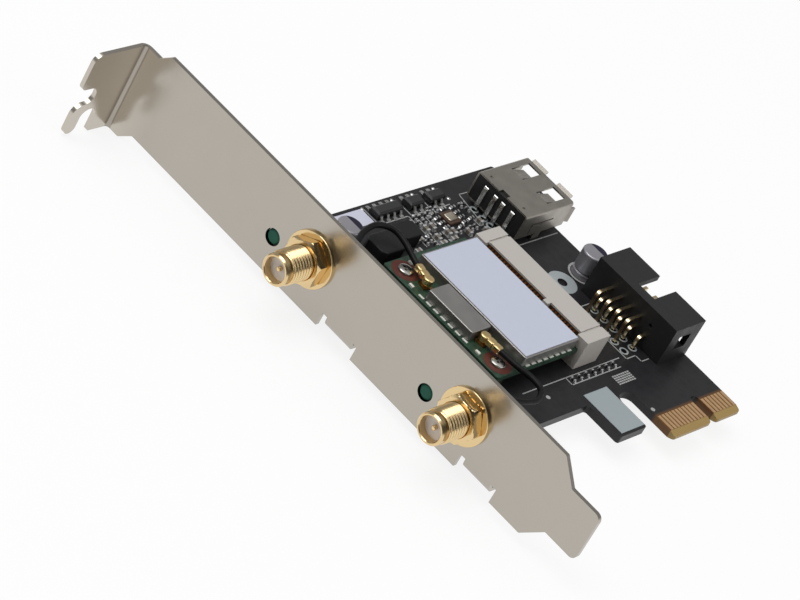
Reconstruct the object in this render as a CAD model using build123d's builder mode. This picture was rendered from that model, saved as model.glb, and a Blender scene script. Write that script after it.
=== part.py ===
from build123d import *
from math import radians, tan
import os

os.makedirs("parts", exist_ok=True)

# Wireless network card on a full-height bracket. Millimetres.
# Origin: middle of the key in the card edge, at the contact end, on the component face of the board.
# +X runs from the bracket to the far edge, +Y from the contacts to the screw tab, +Z out of the components.


def rounded_outline(corners):
    """Add the closed outline through (x, y, corner radius) rows to the line being built."""
    points = [(x, y) for x, y, radius in corners]
    radii = [radius for x, y, radius in corners]
    return FilletPolyline(*points, radius=radii, close=True)


# Share of a width that the rounds at a full-round end take up
round_share = 0.49

# Main board
board_thickness = 1.57
board_far_x = 8.0
board_bracket_gap = 2.15
board_top_y = 67.4
board_low_y = 12.1
board_corner = 0.6
tongue_corner = 0.5
key_width = 1.9
key_depth = 6.2
tongue_near_x = -12.15
bevel_length = 1.3
bevel_depth = 0.45
stub_near_x = -24.25
stub_far_x = -16.35
stub_low_y = 3.8
ear_far_x = -47.0
ear_low_y = 3.6
spare_hole = (-3.0, 38.0)
spare_hole_radius = 1.0

# Edge contacts
contact_pitch = 1.0
contact_width = 0.7
contact_length = 3.6
contact_inset = 0.05
contact_plating = 0.05
contact_first = 1.5
contacts_near = 11
contacts_far = 7

# Bracket, one folded sheet
sheet = 0.86
bend_radius = 0.7
bracket_inner_x = -58.65
bracket_width = 18.42
bracket_length = 120.02
bracket_low_z = -3.3
tab_top_y = 105.0
neck_high_step = 2.06
neck_high_start_y = 98.4
neck_high_end_y = 100.6
neck_low_step = 2.33
neck_low_start_y = 98.5
neck_low_end_y = 101.2
tongue_step = 4.115
tongue_start_y = -3.98
tongue_end_y = -8.0
tip_radius = 1.3
shoulder_radius = 0.4
tab_depth = 13.2
tab_corner = 1.8
hook_depth = 12.47
hook_low_z = -5.1
hook_corner = 2.2
screw_slot_width = 3.8
screw_slot_centre = 8.0
screw_slot_top_z = 0.0
guide_notch_width = 3.8
guide_notch_z = 3.3
guide_notch_depth = 4.7
tab_edge_radius = 1.2
lug_centres = (43.85, 8.0)
lug_width = 6.4
lug_reach = 9.2
lug_relief = 1.3
lug_relief_rise = 2.9
lug_hole_reach = 5.6

# Screws that hold the board on the lugs
screw_radius = 1.45
screw_head_radius = 2.75
screw_head_height = 1.7
screw_tail = 0.9
screw_recess_radius = 0.75
screw_recess_depth = 0.8
screw_recess_sides = 4
screw_dome = 0.85
screw_clearance = 0.05

# Antenna jacks
jack_centres = {"upper": 55.3, "lower": 15.3}
jack_z = bracket_low_z + bracket_width / 2
thread_radius = 3.175
engaged_radius = 3.0
thread_length = 7.9
jack_reach = 9.5
relief_length = 0.5
relief_radius = 2.7
collar_radius = 2.95
collar_chamfer = 0.3
jack_bore_radius = 2.3
jack_bore_depth = 5.2
jack_recess = 1.7
jack_pin_radius = 0.46
jack_pin_setback = 0.9
flange_across = 8.0
flange_thickness = 1.8
barrel_radius = 1.9
barrel_length = 3.0
jack_hole_clearance = 0.08
jack_flat_clearance = 0.03
washer_radius = 5.3
washer_thickness = 0.6
washer_edge = 0.15
nut_across = 8.0
hex_sides = 6
nut_thickness = 2.3

# Coax pigtails
coax_diameter = 1.13
sleeve_radius = 1.3
sleeve_length = 4.6
sleeve_clearance = 0.03
sleeve_lead = 1.6
plug_lead = 1.0
bend_share = 0.45
plug_radius = 1.05
plug_height = 1.4
plug_rise = 0.65
plug_edge = 0.25
plug_barrel_radius = 0.62
plug_barrel_length = 3.8
plug_offsets = {"upper": (3.9, 22.7), "lower": (4.0, 7.85)}
plug_turns = {"upper": 75, "lower": -86}
cable_rise = 1.35
receptacle_side = 2.1
receptacle_thickness = 0.35
receptacle_ring_radius = 0.85
receptacle_ring_height = 0.95
receptacle_bore_radius = 0.65
coax_routes = {
    "upper": [(-37.2, 52.0, 6.2), (-37.2, 55.4, 6.8), (-40.0, 57.6, 7.0), (-44.0, 57.2, 6.7)],
    "lower": [
        (-38.2, 21.2, 5.2),
        (-37.0, 18.6, 4.9),
        (-37.0, 15.6, 4.7),
        (-40.4, 13.6, 4.8),
        (-45.0, 14.2, 5.5),
    ],
}

# Status lights
light_offset_y = 8.6
light_z = 3.35
light_radius = 1.6
light_clearance = 0.05
light_recess = 0.15
light_dome = 0.8
light_length = 3.6
light_flange_radius = 1.95
light_flange_length = 0.9
light_lead = 0.5
light_lead_pitch = 2.54
light_lead_reach = 4.6
lead_tail = 0.9
lead_hole_clearance = 0.12

# Radio module on its socket
module_near_x = -43.0
module_length = 26.8
module_low_y = 21.2
module_width = 30.0
module_thickness = 1.0
module_rise = 3.0
module_corner = 0.5
module_hole_pitch = 24.2
module_hole_inset = 3.1
module_screw_radius = 0.95
module_screw_head_radius = 1.5
module_screw_head_height = 0.65
module_screw_dome = 0.3
standoff_radius = 2.4
standoff_skirt = 0.05

# Shields and labels on the module
shield_height = 2.15
main_shield_offset = (7.0, 0.5)
main_shield_socket_gap = 0.35
main_shield_width = 27.5
small_shield_offset = (1.2, 9.05)
small_shield_length = 5.5
small_shield_width = 11.3
shield_sheet = 0.25
shield_radius = 0.2
label_margin = 0.35
label_thickness = 0.1

# Card socket
socket_front_x = -20.0
socket_depth = 6.75
socket_low_y = 20.1
socket_length = 29.6
socket_height = 6.25
socket_lip_setback = 1.1
socket_end_block = 2.6
socket_end_groove = 0.25
socket_slot_clearance = 0.1
socket_key_y = 31.3
socket_key_width = 1.2
spring_pitch = 0.8
spring_width = 0.4
spring_sheet = 0.2
spring_low_count = 8
spring_high_count = 18
spring_key_gap = 1.6
spring_top_z = 5.4
spring_tail = 0.9
spring_front_gap = 0.3

# Upright port at the far edge
port_rear_x = -6.1
port_front_x = 8.0
port_centre_y = 55.65
port_width = 13.1
port_low_z = 1.0
port_high_z = 6.9
port_sheet = 0.35
port_radius = 0.6
port_lip_length = 0.8
port_lip_rise = 0.35
port_lip_width = 3.7
port_finger_offset = 3.35
port_side_lip_height = 3.4
port_window_width = 3.2
port_window_near_x = 1.6
port_window_far_x = 7.0
port_notch_width = 2.0
port_notch_depth = 1.0
port_dimple = 0.6
port_dimple_depth = 0.2
port_dimple_offset = 4.4
port_dimple_inset = 1.3
port_slit = 0.3
port_slit_near_x = -2.8
port_slit_far_x = 3.6
port_slit_low_z = 1.7
port_slit_high_z = 4.0
port_spring_width = 2.4
port_spring_length = 3.8
port_spring_dip = 0.9
port_leg_x = 0.6
port_leg_width = 2.2
port_leg_tail = 0.8
port_clearance = 0.05
port_block_front_x = -1.4
port_tongue_front_x = 6.6
port_tongue_width = 11.0
port_tongue_thickness = 1.84
port_tongue_top_z = 4.5
port_pin_offsets = (-3.5, -1.0, 1.0, 3.5)
port_pin_width = 0.9
port_pin_sheet = 0.25
port_pin_front_x = 5.6
port_pin_step_x = -2.6
port_pin_step_z = 5.6
port_pin_bend = 0.6
port_pin_tail = 1.0

# Shrouded right-angle header
header_near_x = -0.75
header_far_x = 8.2
header_centre_y = 25.0
header_length = 20.2
header_height = 8.3
header_wall = 1.1
header_rear_wall = 2.2
header_slot_width = 4.2
header_slot_near_x = 1.6
header_window_near_x = 1.9
header_window_far_x = 5.4
header_window_low_z = 2.9
header_window_high_z = 6.0
header_pitch = 2.54
header_pin = 0.64
header_low_row_z = 2.6
header_low_leg_x = -2.3
header_pin_front_setback = 1.2
header_pin_tail = 1.4
header_columns = 5
header_pin_bend = 1.0

# Capacitors, chokes and chips on the board
can_radius = 2.5
can_header_gap = 0.7
can_places = {
    "far": (3.6, header_centre_y + header_length / 2 + can_header_gap + can_radius),
    "near": (-43.6, 60.1),
}
can_height = 5.5
can_edge = 0.4
can_groove_z = 1.3
can_groove_radius = 0.35
can_lead_radius = 0.25
can_lead_pitch = 2.0
choke_places = {"near": (-37.5, 55.4), "far": (-29.1, 57.4)}
choke_sizes = {"near": (6.6, 5.2, 4.0), "far": (5.6, 4.3, 3.0)}
choke_corner = 0.9
choke_edge = 0.3
chip_places = {"near": (-26.4, 64.4), "middle": (-18.9, 64.3), "far": (-13.1, 64.2)}
chip_lengths = {"near": 6.9, "middle": 3.9, "far": 4.1}
chip_width = 2.2
chip_height = 1.35
chip_lift = 0.15
chip_edge = 0.34
chip_lead_pitch = 1.8
chip_lead_width = 0.6
chip_lead_shoulder = 0.2
chip_lead_heel = 0.6
chip_lead_reach = 1.1
chip_lead_sheet = 0.2
crystal_place = (-14.0, 58.7)
crystal_length = 3.4
crystal_width = 3.1
crystal_height = 0.65
crystal_lid_length = 2.3
crystal_lid_width = 1.9
crystal_lid_height = 0.25
crystal_corner = 0.24
crystal_lid_edge = 0.08
resistor_size = (1.0, 0.5, 0.4)
capacitor_size = (1.5, 0.8, 0.75)
passive_fillet = 0.06
# Middles of the chip parts, by the axis that they lie along
resistor_places = {
    "x": [
        (-16.4, 59.7), (-16.4, 58.4), (-16.4, 57.2), (-18.2, 58.4), (-10.8, 59.7), (-10.7, 61.0),
        (-10.8, 58.4), (-11.1, 57.1), (-13.1, 61.3), (-16.3, 61.0), (-12.9, 56.4), (-19.2, 56.0),
        (-19.4, 54.1), (-22.2, 56.6), (-8.9, 57.5), (-7.6, 61.2),
    ],
    "y": [
        (-20.1, 59.8), (-21.7, 59.8), (-18.1, 59.8), (-20.0, 61.0), (-21.6, 61.1), (-18.4, 61.0),
        (-17.4, 61.4), (-22.9, 55.7), (-24.2, 55.3), (-22.5, 54.4), (-15.0, 61.6), (-15.9, 62.0),
        (-16.8, 62.0), (-8.7, 60.9), (-7.9, 59.6), (-25.5, 60.4), (-24.4, 60.4), (-23.2, 60.4),
        (-24.4, 58.6), (-23.3, 58.6), (-14.5, 55.6), (-11.3, 55.4), (-10.0, 55.4),
    ],
}
capacitor_places = {
    "x": [(-25.4, 56.1), (-28.2, 53.9), (-17.7, 54.1), (-21.1, 53.9)],
    "y": [
        (-21.7, 58.0), (-19.9, 58.0), (-17.6, 55.8), (-16.2, 55.6), (-21.0, 55.4), (-12.9, 54.6),
        (-8.0, 56.2), (-8.6, 53.6),
    ],
}
low_row_x = -22.2
low_row_y = 18.0
low_row_pitch = 2.0
low_row_count = 7

# Blank labels on the board
stub_label_margin = 1.0
stub_label_high_y = 14.3
corner_label_near_x = -46.0
corner_label_far_x = -30.9
corner_label_low_y = 62.8
corner_label_high_y = 66.6

# Values worked out from the sizes above
board_under_z = -board_thickness
board_near_x = bracket_inner_x + board_bracket_gap
bracket_outer_x = bracket_inner_x - sheet
bracket_high_z = bracket_low_z + bracket_width
tab_under_y = tab_top_y - sheet
tip_y = tab_top_y - bracket_length
neck_high_z = bracket_high_z - neck_high_step
neck_low_z = bracket_low_z - neck_low_step
lug_under_z = board_under_z - sheet
lug_bend_z = board_under_z + bend_radius
lug_hole_x = bracket_inner_x + lug_hole_reach
jack_hole_radius = thread_radius + jack_hole_clearance
nut_outer_x = bracket_outer_x - washer_thickness - nut_thickness
thread_end_x = bracket_outer_x - thread_length
jack_tip_x = bracket_outer_x - jack_reach
flange_rear_x = bracket_inner_x + flange_thickness
barrel_rear_x = flange_rear_x + barrel_length
jack_recess_x = jack_tip_x + jack_recess
jack_bore_end_x = jack_tip_x + jack_bore_depth
light_hole_radius = light_radius + light_clearance
light_back_x = bracket_inner_x + light_length
light_leg_x = light_back_x + light_lead_reach
module_under_z = module_rise
module_top_z = module_rise + module_thickness
module_far_x = module_near_x + module_length
module_centre_y = module_low_y + module_width / 2
module_hole_x = module_near_x + module_hole_inset
shield_top_z = module_top_z + shield_height
main_shield_length = socket_front_x - main_shield_socket_gap - module_near_x - main_shield_offset[0]
socket_rear_x = socket_front_x + socket_depth
socket_high_y = socket_low_y + socket_length
socket_lip_x = socket_front_x + socket_lip_setback
spring_ys = [socket_key_y - spring_key_gap - spring_pitch * i for i in range(spring_low_count)]
spring_ys += [socket_key_y + spring_key_gap + spring_pitch * i for i in range(spring_high_count)]
port_inner_width = port_width - 2 * port_sheet
port_inner_low_z = port_low_z + port_sheet
port_inner_high_z = port_high_z - port_sheet
port_pin_rear_x = port_rear_x - port_pin_sheet
port_pin_ys = [port_centre_y + offset for offset in port_pin_offsets]
header_rows_z = (header_low_row_z, header_low_row_z + header_pitch)
header_legs_x = (header_low_leg_x, header_low_leg_x - header_pitch)
header_span = header_pitch * (header_columns - 1)
header_ys = [header_centre_y + header_span / 2 - header_pitch * i for i in range(header_columns)]
cable_z = module_top_z + cable_rise

# Contact pad places along the card edge
pad_xs = [-contact_first - contact_pitch * i for i in range(contacts_near)]
pad_xs += [contact_first + contact_pitch * i for i in range(contacts_far)]
pad_y = bevel_length + contact_inset + contact_length / 2

# Main board: outline with two contact tongues, label stub, bracket ear and round-ended slots
board_slot_round = round_share * (tongue_near_x - stub_far_x)
key_round = round_share * key_width
board_outline = [
    (board_near_x, board_top_y, board_corner),
    (board_far_x, board_top_y, board_corner),
    (board_far_x, 0, tongue_corner),
    (key_width / 2, 0, tongue_corner),
    (key_width / 2, key_depth, key_round),
    (-key_width / 2, key_depth, key_round),
    (-key_width / 2, 0, tongue_corner),
    (tongue_near_x, 0, tongue_corner),
    (tongue_near_x, board_low_y, board_slot_round),
    (stub_far_x, board_low_y, board_slot_round),
    (stub_far_x, stub_low_y, board_corner),
    (stub_near_x, stub_low_y, board_corner),
    (stub_near_x, board_low_y, board_corner),
    (ear_far_x, board_low_y, board_corner),
    (ear_far_x, ear_low_y, board_corner),
    (board_near_x, ear_low_y, board_corner),
]
with BuildPart() as main_board:
    with BuildSketch(Plane.XY.offset(board_under_z)):
        with BuildLine():
            rounded_outline(board_outline)
        make_face()
        with Locations(spare_hole):
            Circle(spare_hole_radius, mode=Mode.SUBTRACT)
        with Locations(*[(lug_hole_x, y) for y in lug_centres]):
            Circle(screw_radius + screw_clearance, mode=Mode.SUBTRACT)
        with Locations(*[(x, y) for x, y in can_places.values()]):
            with GridLocations(can_lead_pitch, 0, 2, 1):
                Circle(can_lead_radius + lead_hole_clearance, mode=Mode.SUBTRACT)
        with Locations(*[(light_leg_x, y + light_offset_y) for y in jack_centres.values()]):
            with GridLocations(0, light_lead_pitch, 1, 2):
                Circle(light_lead / 2 + 2 * lead_hole_clearance, mode=Mode.SUBTRACT)
        with Locations(*[(x, y) for x in header_legs_x for y in header_ys]):
            Circle(header_pin / 2 + 2 * lead_hole_clearance, mode=Mode.SUBTRACT)
        with Locations(*[(port_pin_rear_x + port_pin_sheet / 2, y) for y in port_pin_ys]):
            Circle(port_pin_width / 2 + lead_hole_clearance, mode=Mode.SUBTRACT)
        with Locations((port_leg_x, port_centre_y)):
            with GridLocations(0, port_width - port_sheet, 1, 2):
                Rectangle(port_leg_width + 2 * lead_hole_clearance, port_sheet + 2 * lead_hole_clearance,
                          mode=Mode.SUBTRACT)
    extrude(amount=board_thickness)
    with BuildSketch(Plane.YZ.offset(tongue_near_x)):
        for face_z, inward in ((0, -1), (board_under_z, 1)):
            with BuildLine():
                Polyline(
                    (0, face_z),
                    (bevel_length, face_z),
                    (0, face_z + inward * bevel_depth),
                    close=True,
                )
            make_face()
    extrude(amount=board_far_x - tongue_near_x, mode=Mode.SUBTRACT)
main_board.part.label = "main_board"
export_step(main_board.part, "parts/main_board.step")

# Gold contacts on both faces of the card edge
with BuildPart() as edge_contacts:
    for face_z in (0, board_under_z - contact_plating):
        with BuildSketch(Plane.XY.offset(face_z)):
            with Locations(*[(x, pad_y) for x in pad_xs]):
                Rectangle(contact_width, contact_length)
        extrude(amount=contact_plating)
edge_contacts.part.label = "edge_contacts"
export_step(edge_contacts.part, "parts/edge_contacts.step")

# Blank labels on the stub and on the corner near the bracket
with BuildPart() as stub_label:
    with BuildSketch(Plane.XY):
        with BuildLine():
            Polyline(
                (stub_near_x + stub_label_margin, stub_low_y + board_corner),
                (stub_far_x - label_margin / 2, stub_low_y + board_corner),
                (stub_far_x - label_margin / 2, stub_label_high_y),
                (stub_near_x + stub_label_margin, stub_label_high_y),
                close=True,
            )
        make_face()
    extrude(amount=label_thickness)
stub_label.part.label = "stub_label"
export_step(stub_label.part, "parts/stub_label.step")

with BuildPart() as corner_label:
    with BuildSketch(Plane.XY):
        with BuildLine():
            Polyline(
                (corner_label_near_x, corner_label_low_y),
                (corner_label_far_x, corner_label_low_y),
                (corner_label_far_x, corner_label_high_y),
                (corner_label_near_x, corner_label_high_y),
                close=True,
            )
        make_face()
    extrude(amount=label_thickness)
corner_label.part.label = "corner_label"
export_step(corner_label.part, "parts/corner_label.step")

# Bracket: strip, screw tab with its bend, and two lugs folded under the board
tab_bend_x = bracket_outer_x - bend_radius
tab_bend_y = tab_under_y - bend_radius
lug_bend_x = bracket_inner_x + bend_radius
tab_end_x = bracket_inner_x - tab_depth
hook_end_x = bracket_inner_x - hook_depth
slot_x = bracket_inner_x - screw_slot_centre
slot_inner_x = slot_x + screw_slot_width / 2
hook_inner_x = slot_x - screw_slot_width / 2
notch_top_z = guide_notch_z + guide_notch_width / 2
notch_low_z = guide_notch_z - guide_notch_width / 2
notch_inner_x = tab_end_x + guide_notch_depth
tongue_high_z = bracket_high_z - tongue_step
tongue_low_z = bracket_low_z + tongue_step
screw_slot_round = round_share * screw_slot_width
notch_round = round_share * guide_notch_width
hook_round = round_share * (hook_inner_x - hook_end_x)
strip_outline = [
    (tab_bend_y, neck_high_z, 0),
    (neck_high_end_y, neck_high_z, shoulder_radius),
    (neck_high_start_y, bracket_high_z, shoulder_radius),
    (tongue_start_y, bracket_high_z, shoulder_radius),
    (tongue_end_y, tongue_high_z, shoulder_radius),
    (tip_y, tongue_high_z, tip_radius),
    (tip_y, tongue_low_z, tip_radius),
    (tongue_end_y, tongue_low_z, shoulder_radius),
    (tongue_start_y, bracket_low_z, shoulder_radius),
    (neck_low_start_y, bracket_low_z, shoulder_radius),
    (neck_low_end_y, neck_low_z, shoulder_radius),
    (tab_bend_y, neck_low_z, 0),
]
tab_outline = [
    (tab_bend_x, neck_high_z, 0),
    (tab_end_x, neck_high_z, tab_corner),
    (tab_end_x, notch_top_z, tab_edge_radius),
    (notch_inner_x, notch_top_z, notch_round),
    (notch_inner_x, notch_low_z, notch_round),
    (hook_end_x, notch_low_z, hook_corner),
    (hook_end_x, hook_low_z, hook_round),
    (hook_inner_x, hook_low_z, hook_round),
    (hook_inner_x, screw_slot_top_z, screw_slot_round),
    (slot_inner_x, screw_slot_top_z, screw_slot_round),
    (slot_inner_x, neck_low_z, shoulder_radius),
    (tab_bend_x, neck_low_z, 0),
]
with BuildPart() as bracket:
    with BuildSketch(Plane.YZ.offset(bracket_outer_x)):
        with BuildLine():
            rounded_outline(strip_outline)
        make_face()
        with Locations(*[(y, bracket_low_z) for y in lug_centres]):
            Rectangle(lug_width + 2 * lug_relief, lug_relief_rise, align=(Align.CENTER, Align.MIN),
                      mode=Mode.SUBTRACT)
        with Locations(*[(y, lug_bend_z) for y in lug_centres]):
            Rectangle(lug_width, bracket_low_z + lug_relief_rise - lug_bend_z,
                      align=(Align.CENTER, Align.MIN))
        with Locations(*[(y, jack_z) for y in jack_centres.values()]):
            Circle(jack_hole_radius, mode=Mode.SUBTRACT)
        with Locations(*[(y + light_offset_y, light_z) for y in jack_centres.values()]):
            Circle(light_hole_radius, mode=Mode.SUBTRACT)
    extrude(amount=sheet)
    with BuildSketch(Plane.XY.offset(neck_low_z)):
        with BuildLine():
            inner_bend = CenterArc((tab_bend_x, tab_bend_y), bend_radius, 0, 90)
            outer_bend = CenterArc((tab_bend_x, tab_bend_y), bend_radius + sheet, 0, 90)
            Line(inner_bend @ 0, outer_bend @ 0)
            Line(inner_bend @ 1, outer_bend @ 1)
        make_face()
    extrude(amount=neck_high_z - neck_low_z)
    with BuildSketch(Plane.XZ.offset(-tab_top_y)):
        with BuildLine():
            rounded_outline(tab_outline)
        make_face()
    extrude(amount=sheet)
    for lug_y in lug_centres:
        with BuildSketch(Plane.XZ.offset(-lug_y - lug_width / 2)):
            with BuildLine():
                inner_fold = CenterArc((lug_bend_x, lug_bend_z), bend_radius, 180, 90)
                outer_fold = CenterArc((lug_bend_x, lug_bend_z), bend_radius + sheet, 180, 90)
                Line(inner_fold @ 0, outer_fold @ 0)
                Polyline(
                    outer_fold @ 1,
                    (bracket_inner_x + lug_reach, lug_under_z),
                    (bracket_inner_x + lug_reach, board_under_z),
                    inner_fold @ 1,
                )
            make_face()
        extrude(amount=lug_width)
    with BuildSketch(Plane.XY.offset(lug_under_z)):
        with Locations(*[(lug_hole_x, y) for y in lug_centres]):
            Circle(screw_radius + screw_clearance)
    extrude(amount=sheet, mode=Mode.SUBTRACT)
bracket.part.label = "bracket"
export_step(bracket.part, "parts/bracket.step")

# Screws through the board into the lugs
with BuildPart() as bracket_screws:
    with BuildSketch(Plane.XY.offset(lug_under_z - screw_tail)):
        with Locations(*[(lug_hole_x, y) for y in lug_centres]):
            Circle(screw_radius)
    extrude(amount=screw_tail + sheet + board_thickness)
    with BuildSketch(Plane.XY):
        with Locations(*[(lug_hole_x, y) for y in lug_centres]):
            Circle(screw_head_radius)
    extrude(amount=screw_head_height)
    fillet(bracket_screws.edges().filter_by(GeomType.CIRCLE).group_by(Axis.Z)[-1], radius=screw_dome)
    with BuildSketch(Plane.XY.offset(screw_head_height)):
        with Locations(*[(lug_hole_x, y) for y in lug_centres]):
            RegularPolygon(screw_recess_radius, screw_recess_sides)
    extrude(amount=-screw_recess_depth, mode=Mode.SUBTRACT)
bracket_screws.part.label = "bracket_screws"
export_step(bracket_screws.part, "parts/bracket_screws.step")

# Antenna jacks, each with its insulator, centre pin and crimp sleeve. The thread is a plain round,
# slimmer where the nut sits on it.
for place, jack_y in jack_centres.items():
    with BuildPart() as jack_body:
        with BuildSketch(Plane.YZ.offset(bracket_inner_x)):
            with Locations((jack_y, jack_z)):
                RegularPolygon(flange_across / 2, hex_sides, major_radius=False)
        extrude(amount=flange_thickness)
        with BuildSketch(Plane.YZ.offset(flange_rear_x)):
            with Locations((jack_y, jack_z)):
                Circle(barrel_radius)
        extrude(amount=barrel_length)
        with BuildSketch(Plane.YZ.offset(bracket_inner_x)):
            with Locations((jack_y, jack_z)):
                Circle(engaged_radius)
        extrude(amount=nut_outer_x - bracket_inner_x)
        with BuildSketch(Plane.YZ.offset(nut_outer_x)):
            with Locations((jack_y, jack_z)):
                Circle(thread_radius)
        extrude(amount=thread_end_x - nut_outer_x)
        with BuildSketch(Plane.YZ.offset(thread_end_x)):
            with Locations((jack_y, jack_z)):
                Circle(relief_radius)
        extrude(amount=-relief_length)
        with BuildSketch(Plane.YZ.offset(thread_end_x - relief_length)):
            with Locations((jack_y, jack_z)):
                Circle(collar_radius)
        extrude(amount=jack_tip_x - thread_end_x + relief_length)
        chamfer(jack_body.edges().filter_by(GeomType.CIRCLE).group_by(Axis.X)[0], length=collar_chamfer)
        with BuildSketch(Plane.YZ.offset(jack_tip_x)):
            with Locations((jack_y, jack_z)):
                Circle(jack_bore_radius)
        extrude(amount=jack_bore_depth, mode=Mode.SUBTRACT)
    jack_body.part.label = f"jack_body_{place}"
    export_step(jack_body.part, f"parts/jack_body_{place}.step")

    with BuildPart() as jack_insulator:
        with BuildSketch(Plane.YZ.offset(jack_recess_x)):
            with Locations((jack_y, jack_z)):
                Circle(jack_bore_radius)
                Circle(jack_pin_radius, mode=Mode.SUBTRACT)
        extrude(amount=jack_bore_end_x - jack_recess_x)
    jack_insulator.part.label = f"jack_insulator_{place}"
    export_step(jack_insulator.part, f"parts/jack_insulator_{place}.step")

    with BuildPart() as jack_pin:
        with BuildSketch(Plane.YZ.offset(jack_tip_x + jack_pin_setback)):
            with Locations((jack_y, jack_z)):
                Circle(jack_pin_radius)
        extrude(amount=jack_bore_depth - jack_pin_setback)
        fillet(jack_pin.edges().group_by(Axis.X)[0], radius=jack_pin_radius / 2)
    jack_pin.part.label = f"jack_pin_{place}"
    export_step(jack_pin.part, f"parts/jack_pin_{place}.step")

    with BuildPart() as crimp_sleeve:
        with BuildSketch(Plane.YZ.offset(barrel_rear_x)):
            with Locations((jack_y, jack_z)):
                Circle(sleeve_radius)
                Circle(coax_diameter / 2 + sleeve_clearance, mode=Mode.SUBTRACT)
        extrude(amount=sleeve_length)
    crimp_sleeve.part.label = f"crimp_sleeve_{place}"
    export_step(crimp_sleeve.part, f"parts/crimp_sleeve_{place}.step")

# Lock washers and nuts on the outer face of the bracket
with BuildPart() as jack_washers:
    with BuildSketch(Plane.YZ.offset(bracket_outer_x)):
        with Locations(*[(y, jack_z) for y in jack_centres.values()]):
            Circle(washer_radius)
            Circle(jack_hole_radius, mode=Mode.SUBTRACT)
    extrude(amount=-washer_thickness)
    fillet(jack_washers.edges().group_by(Axis.X)[0], radius=washer_edge)
jack_washers.part.label = "jack_washers"
export_step(jack_washers.part, "parts/jack_washers.step")

with BuildPart() as jack_nuts:
    with BuildSketch(Plane.YZ.offset(bracket_outer_x - washer_thickness)):
        with Locations(*[(y, jack_z) for y in jack_centres.values()]):
            RegularPolygon(nut_across / 2, hex_sides, major_radius=False)
            Circle(engaged_radius + jack_flat_clearance, mode=Mode.SUBTRACT)
    extrude(amount=-nut_thickness)
jack_nuts.part.label = "jack_nuts"
export_step(jack_nuts.part, "parts/jack_nuts.step")

# Coax pigtails from the crimp sleeves to the plugs, with their plugs and the module's receptacles
plug_directions = {place: Vector(1, 0, 0).rotate(Axis.Z, turn) for place, turn in plug_turns.items()}
for place, jack_y in jack_centres.items():
    plug_x = module_near_x + plug_offsets[place][0]
    plug_y = module_low_y + plug_offsets[place][1]
    plug_direction = plug_directions[place]
    plug_end = Vector(plug_x, plug_y, cable_z) + plug_direction * plug_barrel_length
    sleeve_end = Vector(barrel_rear_x + sleeve_length + sleeve_lead, jack_y, jack_z)
    points = [plug_end, plug_end + plug_direction * plug_lead]
    points += [Vector(*p) for p in coax_routes[place]]
    points += [sleeve_end, Vector(barrel_rear_x, jack_y, jack_z)]
    runs = [b - a for a, b in zip(points, points[1:])]
    turns = [radians(a.get_angle(b)) for a, b in zip(runs, runs[1:])]
    shorter = [min(a.length, b.length) for a, b in zip(runs, runs[1:])]
    radii = [bend_share * run / tan(turn / 2) for run, turn in zip(shorter, turns)]
    with BuildPart() as coax:
        with BuildLine() as route:
            FilletPolyline(*points, radius=radii)
        with BuildSketch(Plane(origin=route.line @ 0, z_dir=route.line % 0)):
            Circle(coax_diameter / 2)
        sweep()
    coax.part.label = f"coax_{place}"
    export_step(coax.part, f"parts/coax_{place}.step")

    plug_plane = Plane(origin=(plug_x, plug_y, module_top_z), x_dir=plug_direction, z_dir=(0, 0, 1))
    with BuildPart() as coax_plug:
        with BuildSketch(plug_plane.offset(plug_rise)):
            Circle(plug_radius)
        extrude(amount=plug_height)
        fillet(coax_plug.edges().group_by(Axis.Z)[-1], radius=plug_edge)
        with BuildSketch(Plane(origin=(plug_x, plug_y, cable_z), x_dir=(0, 0, 1), z_dir=plug_direction)):
            Circle(plug_barrel_radius)
        extrude(amount=plug_barrel_length)
        with BuildSketch(plug_plane.offset(receptacle_thickness)):
            Circle(receptacle_ring_radius + sleeve_clearance)
        extrude(amount=receptacle_ring_height, mode=Mode.SUBTRACT)
    coax_plug.part.label = f"coax_plug_{place}"
    export_step(coax_plug.part, f"parts/coax_plug_{place}.step")

    with BuildPart() as receptacle:
        with BuildSketch(plug_plane):
            Rectangle(receptacle_side, receptacle_side)
        extrude(amount=receptacle_thickness)
        with BuildSketch(plug_plane.offset(receptacle_thickness)):
            Circle(receptacle_ring_radius)
            Circle(receptacle_bore_radius, mode=Mode.SUBTRACT)
        extrude(amount=receptacle_ring_height)
    receptacle.part.label = f"receptacle_{place}"
    export_step(receptacle.part, f"parts/receptacle_{place}.step")

# Status lights, domed and set back in the bracket's holes, with their bent leads
for place, jack_y in jack_centres.items():
    light_y = jack_y + light_offset_y
    with BuildPart() as status_light:
        with BuildSketch(Plane.YZ.offset(bracket_outer_x + light_recess)):
            with Locations((light_y, light_z)):
                Circle(light_radius)
        extrude(amount=sheet - light_recess + light_length)
        fillet(status_light.edges().group_by(Axis.X)[0], radius=light_dome)
        with BuildSketch(Plane.YZ.offset(light_back_x - light_flange_length)):
            with Locations((light_y, light_z)):
                Circle(light_flange_radius)
        extrude(amount=light_flange_length)
    status_light.part.label = f"status_light_{place}"
    export_step(status_light.part, f"parts/status_light_{place}.step")

with BuildPart() as light_leads:
    for jack_y in jack_centres.values():
        for side in (-1, 1):
            lead_y = jack_y + light_offset_y + side * light_lead_pitch / 2
            with BuildSketch(Plane.XZ.offset(-lead_y - light_lead / 2)):
                with BuildLine():
                    Polyline(
                        (light_back_x, light_z - light_lead / 2),
                        (light_leg_x - light_lead / 2, light_z - light_lead / 2),
                        (light_leg_x - light_lead / 2, board_under_z - lead_tail),
                        (light_leg_x + light_lead / 2, board_under_z - lead_tail),
                        (light_leg_x + light_lead / 2, light_z + light_lead / 2),
                        (light_back_x, light_z + light_lead / 2),
                        close=True,
                    )
                make_face()
            extrude(amount=light_lead)
light_leads.part.label = "light_leads"
export_step(light_leads.part, "parts/light_leads.step")

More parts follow.
